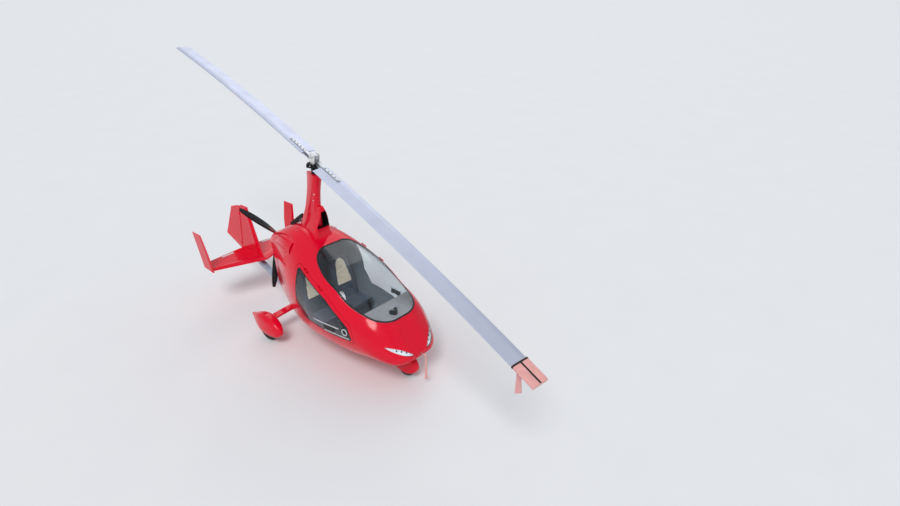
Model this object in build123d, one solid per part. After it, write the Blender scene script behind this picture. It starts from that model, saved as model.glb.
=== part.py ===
from build123d import *
import os
from math import cos, radians, sin, tan

# Gyrocopter with a closed two-seat cabin, a pusher propeller and a two-blade rotor.
# +X points to the nose, +Y to port and +Z up. The ground is z = 0 and the rotor head is over the origin.
# All sizes are in millimetres.

# Clearances
seat_gap = 0.3
glass_gap = 0.5
screen_gap = 0.9
door_gap = 5.0
move_gap = 6.0

# Walls
skin = 16.0
glass = 6.0
plate = 12.0

# Pod: stations from nose to tail.
# Columns: x, lowest z, z of the widest line, highest z, half width, half of the flat belly, half of the flat top
pod_stations = [
    (1882, 462, 485, 508, 110, 60, 60),
    (1840, 412, 488, 566, 285, 120, 110),
    (1740, 368, 500, 690, 385, 110, 110),
    (1554, 322, 580, 914, 485, 110, 110),
    (1250, 262, 710, 1112, 570, 150, 120),
    (850, 228, 830, 1312, 622, 200, 145),
    (400, 220, 880, 1490, 645, 200, 175),
    (0, 228, 940, 1635, 596, 190, 110),
    (-350, 290, 1010, 1690, 492, 150, 50),
    (-700, 430, 1025, 1590, 342, 110, 75),
    (-1100, 610, 1010, 1400, 205, 50, 50),
]
firewall_x = -330.0
cowl_rear_top = (-1040.0, 1500.0)
cowl_rear_low = (-850.0, 300.0)

# Windscreen outline seen from above: x of its top and low ends, half width, where its sides run straight,
# and half of each flat end
screen_x = (200.0, 1561.0)
screen_half = 461.0
screen_side = (700.0, 900.0)
screen_flat = (140.0, 100.0)
# Seam between the upper shell and the belly tub
seam_z = 530.0
# Side window outline seen from the side: x, z, from the rear top corner forward
window_points = [(75, 1378), (720, 1100), (1130, 832), (1208, 650), (800, 612), (250, 668), (92, 880)]
window_corner = 45.0
door_rim = 42.0
# Lamp outline seen from the front, one side: y, z of the outer end, the middle and the inner end
lamp_upper = [(-416, 676), (-270, 626), (-112, 512)]
lamp_lower = [(-112, 512), (-290, 572), (-416, 676)]

# Door hinges: where the axis passes over the skin at each end of the rail, and how far outside it
hinge_rear = (249.5, -518.6, 1340.6)
hinge_front = (571.9, -551.0, 1201.6)
hinge_normal = (0.149, -0.829, 0.539)
hinge_out = 16.0
hinge_r = 9.0
hinge_pin_r = 5.0
hinge_length = 50.0
hinge_lug = 10.0

# Cabin
floor_z = 300.0
floor_x = (-300.0, 1360.0)
deck_z = 420.0
deck_x = (1380.0, 1745.0)
seat_y = 270.0
seat_half = 205.0
cushion_x = (130.0, 450.0)
cushion_z = (470.0, 590.0)
cushion_round = 32.0
back_lean = 14.0
back_height = 690.0
back_thick = 105.0
back_round = 100.0
panel_x = (1150.0, 1190.0)
panel_z = (690.0, 890.0)
panel_half = 430.0
glare_front = 1530.0
compass_x = 1410.0
compass_r = 42.0
console_half = 62.0
stick_x = 640.0
stick_top = 690.0
pedal_x = 1290.0
pedal_y = 190.0
pedal_z = 430.0

# Rotor
rotor_radius = 4240.0
blade_chord = 225.0
blade_lead = 0.29
blade_thick = 25.0
blade_droop = 165.0
blade_stations = (215.0, 620.0, 1830.0, 3040.0, 4240.0)
bar_half = 620.0
bar_width = 56.0
bar_thick = 20.0
bar_drop = 65.0
strap_half = 22.0
strap_thick = 8.0
head_x = -8.0
head_z = 2591.0
head_tilt = 8.0
pivot_r = 8.0
ear = 38.0
ear_thick = 12.0
housing_r = 56.0
housing_z = (40.0, 72.0)
spindle_r = 20.0
disc_z = 80.0
disc_r = 88.0
disc_thick = 6.0
cheek = 34.0
cheek_thick = 10.0
cheek_half = 60.0
bolt_r = 10.0
teeter_height = 190.0
teeter_rest = 8.2
blade_azimuth = -6.0
cover_start = 3945.0
cover_end = 4262.0
cover_wall = 7.0
ribbon_width = 52.0
ribbon_thick = 4.0
ribbon_length = 340.0

# Pylon and mast
# Columns: z, front x, rear x, half width
pylon_stations = [(1560, -20, -520, 60), (2080, 10, -275, 52), (2300, 36, -215, 56), (2530, 98, -185, 76)]
# Hood round the pylon's foot, which is blunt in front. Columns: z, front x, rear x, half width in front
hood_stations = [(1540, 115, -540, 160), (1740, 48, -440, 120), (1990, 80, -305, 52), (2065, 42, -275, 34)]
# Air intake in the front of the hood. Columns: z, half width
intake_stations = [(1755, 108), (2005, 40)]
intake_depth = 90.0
# Air scoops behind the doors. Columns: x, y, z of the middle on the skin, half length along the skin, height
scoop_stations = [(-205, -385, 1480, 104, 50), (-480, -325, 1490, 92, 42), (-820, -240, 1400, 52, 18)]
scoop_slant = 60.0
scoop_wall = 8.0
# Brace from the cowl up to the pylon: x, z of its ends
brace_line = [(-735, 1590), (-430, 1815)]
mast_width = 60.0
mast_pocket = 120.0

# Propeller and engine
prop_x = -1100.0
prop_z = 1290.0
prop_hub_r = 62.0
prop_hub_length = 70.0
prop_angle = 44.0
prop_count = 3
shaft_r = 20.0
# Propeller blade: distance from the axis, chord, thickness, pitch
prop_stations = [(58, 60, 34, 62), (190, 105, 24, 48), (420, 112, 15, 31), (700, 88, 9, 21), (850, 46, 5, 17)]
engine_x = (-800.0, -420.0)
engine_z = (810.0, 1260.0)
engine_half = 200.0
gearbox_x = -960.0
gearbox_half = 105.0
mount_y = 150.0
mount_r = 14.0

# Landing gear
main_x = -570.0
bow_x = -606.0
main_y = 735.0
main_r = 190.0
main_width = 100.0
nose_x = 1586.0
nose_r = 160.0
nose_width = 90.0
axle_r = 12.5
axle_bore = 8.0
run_gap = 0.3
bow_half = 60.0
bow_thick = 26.0
bow_y = 655.0
bow_low = 324.0
bow_end = 298.0
steer_x = 1606.0
stem_r = 16.0
stem_top = 480.0
bay_r = 210.0
bay_top = 380.0
wheel_gap = 9.0
spat_wall = 5.0
fork_y = 54.0
fork_thick = 9.0
fork_half = 24.0
# Spat sections: x from the axle, lowest z, z of the widest line, highest z, half width, flat low, flat top
main_spat = [
    (345, 225, 255, 285, 22, 8, 8),
    (270, 145, 245, 352, 68, 20, 18),
    (80, 105, 235, 424, 96, 28, 26),
    (-90, 108, 238, 420, 93, 26, 24),
    (-270, 180, 268, 352, 52, 16, 14),
    (-380, 262, 286, 310, 16, 5, 5),
]
nose_spat = [
    (225, 178, 215, 250, 26, 6, 6),
    (165, 100, 210, 306, 58, 18, 16),
    (40, 58, 200, 354, 84, 26, 26),
    (-90, 68, 195, 340, 82, 26, 24),
    (-190, 108, 185, 268, 50, 16, 14),
    (-265, 165, 190, 215, 18, 5, 5),
]

# Tail
boom_half = 35.0
# Boom line: x, z from the belly to the tail
boom_line = [(-230, 262), (-790, 234), (-2010, 689)]
# Tail plane sections: y, leading x, leading z, trailing x, trailing z, thickness
tail_sections = [
    (-777.5, -1895, 700, -2185, 730, 38),
    (0, -1590, 702, -2240, 742, 58),
    (777.5, -1895, 700, -2185, 730, 38),
]
# Winglet sections: z, leading x, trailing x, y of the middle, thickness
winglet_sections = [(668, -1880, -2190, 776, 24), (1000, -1915, -2215, 805, 18), (1318, -1950, -2208, 846, 12)]
# Fin sections: z, leading x, thickness
fin_sections = [(722, -1664, 62), (968, -1765, 56), (1512, -1962, 44)]
hinge_foot = (-2300.0, 690.0)
hinge_head = (-2190.0, 1480.0)
# Rudder sections: z, trailing x
rudder_sections = [(692, -2385), (845, -2770), (1420, -2462), (1486, -2262)]
rudder_nose = 20.0
rudder_gap = 8.0
rudder_tail = 6.0
lug_shares = (0.16, 0.84)
lug_height = 22.0
lug_r = 12.0
rudder_pin_r = 5.0

# Pitot tube and its cover
pitot_z = 490.0
pitot_r = 6.0
pitot_tip = 1970.0
pitot_cover_x = (1925.0, 1992.0)
pitot_cover_r = 11.0
pitot_ribbon_width = 32.0
pitot_ribbon_length = 370.0

os.makedirs("parts", exist_ok=True)


def save(shape, name):
    """Write one node, as one solid or as a group of solids that don't touch."""
    solids = list(shape.solids())
    whole = solids[0] if len(solids) == 1 else Compound(solids)
    export_step(whole, f"parts/{name}.step")
    return whole


def at(x, y, z):
    return Pos(x, y, z)


def block(x0, x1, y0, y1, z0, z1):
    """A box given by its two corners."""
    return at((x0 + x1) / 2, (y0 + y1) / 2, (z0 + z1) / 2) * Box(x1 - x0, y1 - y0, z1 - z0)


def rod(start, end, radius):
    """A round bar between two points."""
    a = Vector(*start)
    b = Vector(*end)
    return Solid.make_cylinder(radius, (b - a).length, Plane(a, z_dir=b - a))


def both_sides(shape):
    """The shape and its mirror image across the centre plane."""
    return shape + mirror(shape, about=Plane.XZ)


def quarter(start, start_dir, end, end_dir):
    """Two tangent arcs that turn a quarter round, from start to end."""
    p0 = Vector(*start)
    p1 = Vector(*end)
    t0 = Vector(*start_dir)
    t1 = Vector(*end_dir)
    v = p1 - p0
    along = v.dot(t0 + t1)
    reach = (-along + (along ** 2 + 2 * v.dot(v)) ** 0.5) / 2
    join = (p0 + p1 + (t0 - t1) * reach) * 0.5
    first = Edge.make_tangent_arc(p0, t0, join)
    second = Edge.make_tangent_arc(join, first % 1, p1)
    return [first, second]


def quadrant(x, start, start_dir, end, end_dir):
    """A quarter turn in the plane across the machine at x."""
    return quarter((x, *start), (0, *start_dir), (x, *end), (0, *end_dir))


def ring(x, low, wide, top, half, flat_low, flat_top, inset=0.0):
    """A closed outline across a teardrop body at station x, set in from its surface by inset."""
    low += inset
    top -= inset
    half -= inset
    flat_low = max(flat_low - inset * 0.5, 4.0)
    flat_top = max(flat_top - inset * 0.5, 4.0)
    edges = [Edge.make_line((x, -flat_low, low), (x, flat_low, low))]
    edges += quadrant(x, (flat_low, low), (1, 0), (half, wide), (0, 1))
    edges += quadrant(x, (half, wide), (0, 1), (flat_top, top), (-1, 0))
    edges += [Edge.make_line((x, flat_top, top), (x, -flat_top, top))]
    edges += quadrant(x, (-flat_top, top), (-1, 0), (-half, wide), (0, -1))
    edges += quadrant(x, (-half, wide), (0, -1), (-flat_low, low), (1, 0))
    return Wire(edges)


def body_loft(stations, inset=0.0, nose_back=0.0):
    """A smooth body through its stations. The first one moves back by nose_back, for an inner surface."""
    rings = []
    for number, station in enumerate(stations):
        x = station[0] - (nose_back if number == 0 else nose_back * 0.6 if number == 1 else 0.0)
        rings.append(ring(x, *station[1:], inset=inset))
    return Solid.make_loft(rings, ruled=False)


def side_plane(y):
    """A drawing plane in the side view, at y: its own x and y are the machine's x and z."""
    return Plane(origin=(0, y, 0), x_dir=(1, 0, 0), z_dir=(0, -1, 0))


def side_plate(points, y0, y1):
    """A flat outline of x, z points with its thickness from y0 to y1."""
    return extrude(side_plane(y1) * make_face(Polyline(*points, close=True)), amount=y1 - y0, dir=(0, -1, 0))


def side_prism(points, corner, margin, y0, y1):
    """A rounded outline drawn in the side view, grown by margin and extruded from y1 to y0."""
    face = make_face(Polyline(*points, close=True))
    face = fillet(face.vertices(), corner)
    if margin:
        face = offset(face, amount=margin, kind=Kind.ARC)
    return extrude(side_plane(y1) * face, amount=y1 - y0, dir=(0, -1, 0))


def foil_ring(lead, trail, up, thick, tail):
    """A closed wing outline from its leading to its trailing edge, with its thickness along up."""
    lead = Vector(*lead)
    trail = Vector(*trail)
    up = Vector(*up)
    crest = lead + (trail - lead) * 0.32
    shoulder = lead + (trail - lead) * 0.06
    edges = []
    for side in (1, -1):
        bulge = up * (side * thick / 2)
        edges.append([Edge.make_three_point_arc(lead, shoulder + bulge * 0.62, crest + bulge),
                      Edge.make_line(crest + bulge, trail + up * (side * tail / 2))])
    upper, lower = edges
    end = Edge.make_line(trail + up * (tail / 2), trail - up * (tail / 2))
    return Wire(upper + [end] + lower[::-1])


# Pod surfaces: the outer skin, just outside it for seats, the inner skin, behind the glass, and the space inside
outer = body_loft(pod_stations)
outside = body_loft(pod_stations, -seat_gap)
inner = body_loft(pod_stations, skin, 20.0)
behind_glass = body_loft(pod_stations, glass, 8.0)
clear_space = body_loft(pod_stations, skin + seat_gap, 21.0)

wide = 900.0
high = 2500.0
cabin_zone = block(firewall_x, 2000, -wide, wide, 0, high)
cowl_line = [
    (firewall_x - seat_gap, 0), (firewall_x - seat_gap, high), (-1300, high),
    cowl_rear_top, cowl_rear_low, (-700, 0),
]


def screen_prism(margin):
    """The windscreen outline seen from above, grown by margin and extruded up."""
    x0 = screen_x[0] - margin
    x1 = screen_x[1] + margin
    half = screen_half + margin
    z = 850.0
    top, low = screen_flat
    rear, front = screen_side
    edges = [Edge.make_line((x0, -top, z), (x0, top, z))]
    edges += quarter((x0, top, z), (0, 1, 0), (rear, half, z), (1, 0, 0))
    edges += [Edge.make_line((rear, half, z), (front, half, z))]
    edges += quarter((front, half, z), (1, 0, 0), (x1, low, z), (0, -1, 0))
    edges += [Edge.make_line((x1, low, z), (x1, -low, z))]
    edges += quarter((x1, -low, z), (0, -1, 0), (front, -half, z), (-1, 0, 0))
    edges += [Edge.make_line((front, -half, z), (rear, -half, z))]
    edges += quarter((rear, -half, z), (-1, 0, 0), (x0, -top, z), (0, 1, 0))
    face = Face(Wire(edges))
    if face.normal_at().Z < 0:
        face = -face
    return Solid.extrude(face, Vector(0, 0, 900))


def window_prism(margin):
    return side_prism(window_points, window_corner, margin, -wide, -300)


def lamp_prism(margin):
    """One lamp's outline seen from the front, grown by margin and extruded forward through the nose."""
    face = make_face(Curve() + [ThreePointArc(*lamp_upper), ThreePointArc(*lamp_lower)])
    if margin:
        face = offset(face, amount=margin, kind=Kind.ARC)
    return extrude(at(1450, 0, 0) * (Plane.YZ * face), amount=500, dir=(1, 0, 0))


# Cabin shell, glass and lamps
door_hole = window_prism(door_rim + door_gap)
bay = at(steer_x, 0, bay_top - 200) * Cylinder(bay_r, 400)
lamp_hole = lamp_prism(0.0)
shell = outer - inner
cabin = (shell & cabin_zone) - screen_prism(0.0)
cabin = cabin - door_hole - mirror(door_hole, about=Plane.XZ)
cabin = cabin - bay - lamp_hole - mirror(lamp_hole, about=Plane.XZ)
windscreen = (outer & screen_prism(-screen_gap)) - behind_glass
lamp = (outer & lamp_prism(-glass_gap)) - behind_glass
door_frame = (shell & window_prism(door_rim)) - window_prism(0.0)
door_glass = (outer & window_prism(-glass_gap)) - behind_glass
seam = block(-2000, 2000, -wide, wide, seam_z - seat_gap / 2, seam_z + seat_gap / 2)
panels = (cabin - seam).solids()
save(Compound([panel for panel in panels if panel.center().Z > seam_z]), "cabin_shell")
save(Compound([panel for panel in panels if panel.center().Z < seam_z]), "cabin_tub")
save(windscreen, "windscreen")
save(both_sides(lamp), "nose_lamps")

# Door hinges: a pin on two lugs of the roof rail runs in a sleeve on the door, on one straight axis
normal = Vector(*hinge_normal).normalized()
rail = (Vector(*hinge_front) - Vector(*hinge_rear)).normalized()
turn = Rot(0, 90, 0)
sleeve_half = hinge_length / 2
lug_from = sleeve_half + 2.0
lug_to = lug_from + hinge_lug
sink = hinge_out + 7.0
rail_edge = 12.0 + door_gap + 2.0
leaves = []
brackets = []
for skin_point in (hinge_rear, hinge_front):
    local = Plane(Vector(*skin_point) + normal * hinge_out, x_dir=rail, z_dir=normal)
    bore = turn * Cylinder(hinge_pin_r + run_gap, hinge_length + 2)
    barrel = turn * Cylinder(hinge_r, hinge_length)
    foot = block(-sleeve_half, sleeve_half, -hinge_r, hinge_r - 4, -sink, -hinge_pin_r - 1)
    leaves.append(local * (barrel + foot - bore))
    pin = turn * Cylinder(hinge_pin_r, 2 * lug_to)
    lugs = []
    for side in (1, -1):
        x0, x1 = sorted((side * lug_from, side * lug_to))
        lugs.append(block(x0, x1, -hinge_r + 2, rail_edge + 14, -hinge_r + 2, hinge_r - 2))
        lugs.append(block(x0, x1, rail_edge, rail_edge + 14, -sink, hinge_r - 2))
    brackets.append(local * (pin + lugs) - outside)
right_door = door_frame + leaves[0] + leaves[1]
save(right_door, "door_right_frame")
save(mirror(right_door, about=Plane.XZ), "door_left_frame")
save(door_glass, "door_right_glass")
save(mirror(door_glass, about=Plane.XZ), "door_left_glass")
save(both_sides(brackets[0] + brackets[1]), "door_hinges")

# Engine cowl and firewall
cowl = shell & side_plate(cowl_line, -wide, wide)
save(cowl, "engine_cowl")
firewall = clear_space & block(firewall_x, firewall_x + skin, -wide, wide, 0, high)
save(firewall, "firewall")

# Cabin floor, nose deck, seats, panel, console and controls
floor = clear_space & block(*floor_x, -wide, wide, floor_z, floor_z + plate)
save(floor, "cabin_floor")
deck = clear_space & block(*deck_x, -wide, wide, deck_z, deck_z + plate)
stem_tube = at(steer_x, 0, deck_z - 24) * Cylinder(stem_r + 12, 48)
deck = (deck + stem_tube) - at(steer_x, 0, deck_z) * Cylinder(stem_r + run_gap, 300)
save(deck, "steering_deck")
floor_top = floor_z + plate + seat_gap
base_top = cushion_z[0] - seat_gap
base = block(cushion_x[0] - back_thick, cushion_x[1] - 40, -seat_half + 15, seat_half - 15, floor_top, base_top)
base = fillet(base.edges().filter_by(Axis.Z), 40)
cushion = block(*cushion_x, -seat_half, seat_half, *cushion_z)
cushion = fillet(cushion.edges(), cushion_round)
back_foot = cushion_x[0] - seat_gap
back_step = back_height * tan(radians(back_lean))
back_top = cushion_z[0] + back_height
back_line = [
    (back_foot, cushion_z[0]), (back_foot - back_step, back_top),
    (back_foot - back_step - back_thick, back_top - 20), (back_foot - back_thick, cushion_z[0]),
]
back = side_plate(back_line, -seat_half, seat_half)
back = fillet(back.edges().filter_by(Axis.Y).group_by(Axis.Z)[-1], 30)
back_face = RectangleRounded(2 * seat_half, back_height, back_round)
back_face = at(-500, 0, cushion_z[0] + back_height / 2) * (Plane.YZ * back_face)
back = back & extrude(back_face, amount=700, dir=(1, 0, 0))
save(both_sides(at(0, seat_y, 0) * base & clear_space), "seat_bases")
save(both_sides(at(0, seat_y, 0) * cushion & clear_space), "seat_cushions")
save(both_sides(at(0, seat_y, 0) * back & clear_space), "seat_backs")
panel = block(*panel_x, -panel_half, panel_half, *panel_z)
glare = block(panel_x[0] - 30, glare_front, -wide, wide, panel_z[1], panel_z[1] + plate)
save((panel + glare) & clear_space, "instrument_panel")
compass = at(compass_x, 0, panel_z[1] + plate + seat_gap + 13) * Cylinder(compass_r, 26)
save(compass, "compass")
console_end = panel_x[0] - seat_gap
console_line = [
    (330, floor_top), (330, 480), (900, 530), (console_end, panel_z[0] + 20), (console_end, floor_top),
]
save(side_plate(console_line, -console_half, console_half), "centre_console")
stick = rod((stick_x, 0, floor_top + 10), (stick_x - 40, 0, stick_top - 150), 13)
grip = rod((stick_x - 40, 0, stick_top - 160), (stick_x - 52, 0, stick_top), 19)
boot = at(stick_x, 0, floor_top + 20) * Cone(48, 22, 40)
save(both_sides(at(0, seat_y, 0) * (stick + grip + boot)), "control_sticks")
bar_x = pedal_x + 40
bar_z = floor_top + 16
pedals = rod((bar_x, -95, bar_z), (bar_x, 95, bar_z), 12)
for step in (-75, 75):
    pedals = pedals + rod((bar_x, step, bar_z), (pedal_x, step, pedal_z), 9)
    pedals = pedals + at(pedal_x, step, pedal_z) * Rot(0, -20, 0) * Box(14, 78, 110)
    pedals = pedals + block(bar_x - 14, bar_x + 14, step - 10, step + 10, floor_top, bar_z)
save(both_sides(at(0, pedal_y, 0) * pedals & clear_space), "rudder_pedals")

# Engine: one plain block with its gearbox and propeller shaft, on four rods from the firewall
engine = block(*engine_x, -engine_half, engine_half, *engine_z)
gearbox = block(gearbox_x, engine_x[0], -gearbox_half, gearbox_half, engine_z[0] + 170, prop_z + 70)
shaft_end = prop_x + prop_hub_length / 2
flange = rod((gearbox_x, 0, prop_z), (shaft_end + seat_gap, 0, prop_z), prop_hub_r - 14)
shaft = rod((gearbox_x, 0, prop_z), (prop_x - prop_hub_length / 2, 0, prop_z), shaft_r)
save(engine + gearbox + flange + shaft, "engine_block")
mount_from = firewall_x - seat_gap
mount_to = engine_x[1] + seat_gap
mounts = [rod((mount_from, mount_y, z), (mount_to, mount_y, z), mount_r) for z in (engine_z[0] + 70, engine_z[1] - 70)]
save(both_sides(mounts[0] + mounts[1]), "engine_mount")


def pylon_ring(z, front, rear, half):
    """The pylon's outline at height z: a round nose, a broad middle and a thin tail."""
    nose = (front - rear) * 0.22
    middle = front - nose
    edges = []
    for side in (1, -1):
        edges.append([
            Edge.make_three_point_arc((front, 0, z), (front - nose * 0.3, side * half * 0.72, z),
                                      (middle, side * half, z)),
            Edge.make_three_point_arc((middle, side * half, z), ((middle + rear) / 2, side * half * 0.78, z),
                                      (rear, side * 14, z)),
        ])
    port, starboard = edges
    tail = Edge.make_line((rear, 14, z), (rear, -14, z))
    return Wire(port + [tail] + starboard[::-1])


def hood_ring(z, front, rear, half):
    """The hood's outline at height z: a flat front with round corners and sides that run back to a thin tail."""
    corner = half * 0.3
    edges = []
    for side in (1, -1):
        flat = side * (half - corner)
        edges.append([
            Edge.make_three_point_arc((front, flat, z), (front - corner * 0.3, side * (half - corner * 0.3), z),
                                      (front - corner, side * half, z)),
            Edge.make_three_point_arc((front - corner, side * half, z),
                                      ((front - corner + rear) / 2, side * (half * 0.66 + 7), z),
                                      (rear, side * 14, z)),
        ])
    port, starboard = edges
    tail = Edge.make_line((rear, 14, z), (rear, -14, z))
    nose = Edge.make_line((front, corner - half, z), (front, half - corner, z))
    return Wire([nose] + port + [tail] + starboard[::-1])


# Pylon fairing with the air intake in its hood, brace, air scoops and mast
mast_half = mast_width / 2
slim = Solid.make_loft([pylon_ring(*station) for station in pylon_stations], ruled=False)
hood = Solid.make_loft([hood_ring(*station) for station in hood_stations], ruled=False)
(intake_low, intake_wide), (intake_high, intake_narrow) = intake_stations
intake_face = make_face(Polyline((-intake_wide, intake_low), (intake_wide, intake_low), (intake_narrow, intake_high),
                                 (-intake_narrow, intake_high), close=True))
intake_face = fillet(intake_face.vertices(), 14)
intake = extrude(at(hood_stations[1][1] - intake_depth, 0, 0) * (Plane.YZ * intake_face), amount=400, dir=(1, 0, 0))
fairing = slim + (hood - intake) - outside
fairing_top = pylon_stations[-1][0]
mast_foot = fairing_top - mast_pocket
room = mast_half + seat_gap
pocket = block(head_x - room, head_x + room, -room, room, mast_foot - seat_gap, high + 100)
save(fairing - pocket, "pylon_fairing")
brace_plane = Plane((brace_line[0][0], 0, brace_line[0][1]), x_dir=(
    brace_line[1][0] - brace_line[0][0], 0, brace_line[1][1] - brace_line[0][1]), z_dir=(0, -1, 0))
brace_length = ((brace_line[1][0] - brace_line[0][0]) ** 2 + (brace_line[1][1] - brace_line[0][1]) ** 2) ** 0.5
brace = brace_plane * block(0, brace_length, -32, 22, -20, 20) - outside
save(brace - (slim + hood), "pylon_brace")


def scoop_loft(inset):
    """The scoop's body through its stations, set in by inset."""
    slant = radians(scoop_slant)
    rings = []
    for x, y, z, half, height in scoop_stations:
        local = Plane(origin=(x, y, z), x_dir=(0, -cos(slant), -sin(slant)), z_dir=(1, 0, 0))
        rings.append((local * Ellipse(half - inset, max(height - inset, 3.0))).wire())
    return Solid.make_loft(rings, ruled=False)


mouth = block(scoop_stations[0][0] - 150, scoop_stations[0][0] + 50, -wide, wide, 0, high)
scoop = scoop_loft(0.0) - outside
scoop = scoop - (scoop_loft(scoop_wall) & mouth)
save(both_sides(scoop), "air_scoops")
ear_low = head_z - 46
ear_out = ear + ear_thick
mast = block(head_x - mast_half, head_x + mast_half, -mast_half, mast_half, mast_foot, ear_low - 14)
mast = mast + block(head_x - ear_out, head_x + ear_out, -mast_half, mast_half, ear_low - 14, ear_low)
for x0, x1 in ((head_x - ear_out, head_x - ear), (head_x + ear, head_x + ear_out)):
    mast = mast + block(x0, x1, -18, 18, ear_low, head_z) + rod((x0, 0, head_z), (x1, 0, head_z), 18)
mast = mast - rod((head_x - 90, 0, head_z), (head_x + 90, 0, head_z), pivot_r + run_gap)
save(mast, "mast")

# Rotor head, in its own frame: the pivots' crossing is the origin and z is the rotor's axis
head_spot = at(head_x, 0, head_z)
head_frame = head_spot * Rot(0, head_tilt, 0)
spin_frame = head_frame * Rot(0, 0, blade_azimuth)
teeter_frame = spin_frame * at(0, 0, teeter_height) * Rot(0, teeter_rest, 0)
cross = Box(2 * ear - 20, 2 * ear - 20, 40)
roll_pin = rod((-ear_out, 0, 0), (ear_out, 0, 0), pivot_r)
pitch_pin = rod((0, -ear_out, 0), (0, ear_out, 0), pivot_r)
save(head_spot * (cross + roll_pin + pitch_pin), "head_gimbal")
head = rod((0, 0, housing_z[0]), (0, 0, housing_z[1]), housing_r)
for y0, y1 in ((-ear_out, -ear), (ear, ear_out)):
    head = head + block(-18, 18, y0, y1, 0, housing_z[1]) + rod((0, y0, 0), (0, y1, 0), 18)
head = head - rod((0, -90, 0), (0, 90, 0), pivot_r + run_gap)
head = head - rod((0, 0, 30), (0, 0, 100), spindle_r + run_gap)
save(head_frame * head, "bearing_head")
cheek_out = cheek + cheek_thick
disc_top = disc_z + disc_thick
tower = rod((0, 0, disc_z), (0, 0, disc_top), disc_r)
tower = tower + rod((0, 0, housing_z[0] + 10), (0, 0, disc_z + 3), spindle_r)
tower = tower + block(-34, 34, -cheek_out, cheek_out, disc_top, disc_top + 6)
cheek_line = [
    (-34, disc_top), (34, disc_top), (cheek_half, teeter_height - 72), (cheek_half, teeter_height + 28),
    (cheek_half - 16, teeter_height + 44), (16 - cheek_half, teeter_height + 44),
    (-cheek_half, teeter_height + 28), (-cheek_half, teeter_height - 72),
]
for y0 in (-cheek_out, cheek):
    tower = tower + side_plate(cheek_line, y0, y0 + cheek_thick)
tower = tower - rod((0, -90, teeter_height), (0, 90, teeter_height), bolt_r + run_gap)
save(spin_frame * tower, "teeter_tower")

# Hub bar and blades, in the teeter frame: the teeter bolt is the origin and x runs out along the front blade
bar_top = -bar_drop
bar = block(-bar_half, bar_half, -bar_width / 2, bar_width / 2, bar_top - bar_thick, bar_top)
bar = bar + block(-52, 52, -bar_width / 2, bar_width / 2, bar_top, 38)
strap_low = bar_top + blade_thick + 2 * seat_gap
bar = bar + block(-bar_half + 20, bar_half - 20, -strap_half, strap_half, strap_low, strap_low + strap_thick)
bolt = rod((0, -cheek_out - 12, 0), (0, cheek_out + 12, 0), bolt_r)
save(teeter_frame * (bar + bolt), "hub_bar")


def droop(s):
    """How far the blade hangs down at a distance s from the axis."""
    out = max(s - bar_half, 0.0) / (rotor_radius - bar_half)
    return -blade_droop * out ** 2


def blade_ring(s):
    """The blade's outline at a distance s, flat below and curved above."""
    z = bar_top + seat_gap + droop(s)
    lead = blade_chord * blade_lead
    trail = lead - blade_chord
    top = z + blade_thick
    crest = lead - blade_chord * 0.3
    nose = lead - blade_chord * 0.05
    bend = z + blade_thick * 0.7
    end = z + 2.5
    edges = [
        Edge.make_line((s, trail, z), (s, nose, z)),
        Edge.make_three_point_arc((s, nose, z), (s, lead, (z + bend) / 2), (s, nose, bend)),
        Edge.make_three_point_arc((s, nose, bend), (s, (nose + crest) / 2, (bend + 3 * top) / 4), (s, crest, top)),
        Edge.make_line((s, crest, top), (s, trail, end)),
        Edge.make_line((s, trail, end), (s, trail, z)),
    ]
    return Wire(edges)


blade = Solid.make_loft([blade_ring(s) for s in blade_stations], ruled=False)
save(teeter_frame * blade, "blade_forward")
save(teeter_frame * Rot(0, 0, 180) * blade, "blade_aft")


def cover_ring(s, pinch):
    """The tip cover's outline at a distance s: a soft box round the blade."""
    z = bar_top + droop(s) - cover_wall
    lead = blade_chord * blade_lead + cover_wall - pinch
    trail = blade_chord * (blade_lead - 1) - cover_wall + pinch
    top = z + blade_thick + 2 * cover_wall
    cut = 6.0
    points = [
        (s, trail + cut, z), (s, lead - cut, z), (s, lead, z + cut), (s, lead, top - cut),
        (s, lead - cut, top), (s, trail + cut, top), (s, trail, top - cut), (s, trail, z + cut),
    ]
    return Wire.make_polygon(points, close=True)


cover_middle = (cover_start + cover_end) / 2
cover_rings = [cover_ring(cover_start, 3), cover_ring(cover_middle, 0), cover_ring(cover_end, 4)]
cover = Solid.make_loft(cover_rings, ruled=True)
sock = cover
for x, y, z in ((seat_gap, 0, seat_gap), (0, 0, -seat_gap), (0, seat_gap, 0), (0, -seat_gap, 0)):
    sock = sock - at(x, y, z) * blade
save(teeter_frame * sock, "tip_cover")
hang_s = cover_start + 40
hang = (teeter_frame * at(hang_s, -75, bar_top + droop(hang_s) - cover_wall)).position
ribbon_half = ribbon_width / 2
ribbon = block(hang.X - ribbon_thick / 2, hang.X + ribbon_thick / 2, hang.Y - ribbon_half, hang.Y + ribbon_half,
               hang.Z - ribbon_length, hang.Z + 3)
save(ribbon - teeter_frame * cover, "tip_ribbon")

# Propeller
hub = rod((prop_x - prop_hub_length / 2, 0, prop_z), (prop_x + prop_hub_length / 2, 0, prop_z), prop_hub_r)
hub = hub - rod((prop_x - 100, 0, prop_z), (prop_x + 100, 0, prop_z), shaft_r + run_gap)
save(hub, "propeller_hub")


def prop_ring(r, chord, thick, pitch):
    """A propeller blade's outline at a distance r up from its axis, turned to its pitch."""
    along = Vector(-sin(radians(pitch)), cos(radians(pitch)), 0)
    face_up = Vector(0, 0, 1).cross(along)
    lead = along * (-0.4 * chord)
    trail = along * (0.6 * chord)
    lift = Vector(0, 0, r)
    return foil_ring(lead + lift, trail + lift, face_up, thick, thick * 0.25)


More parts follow.
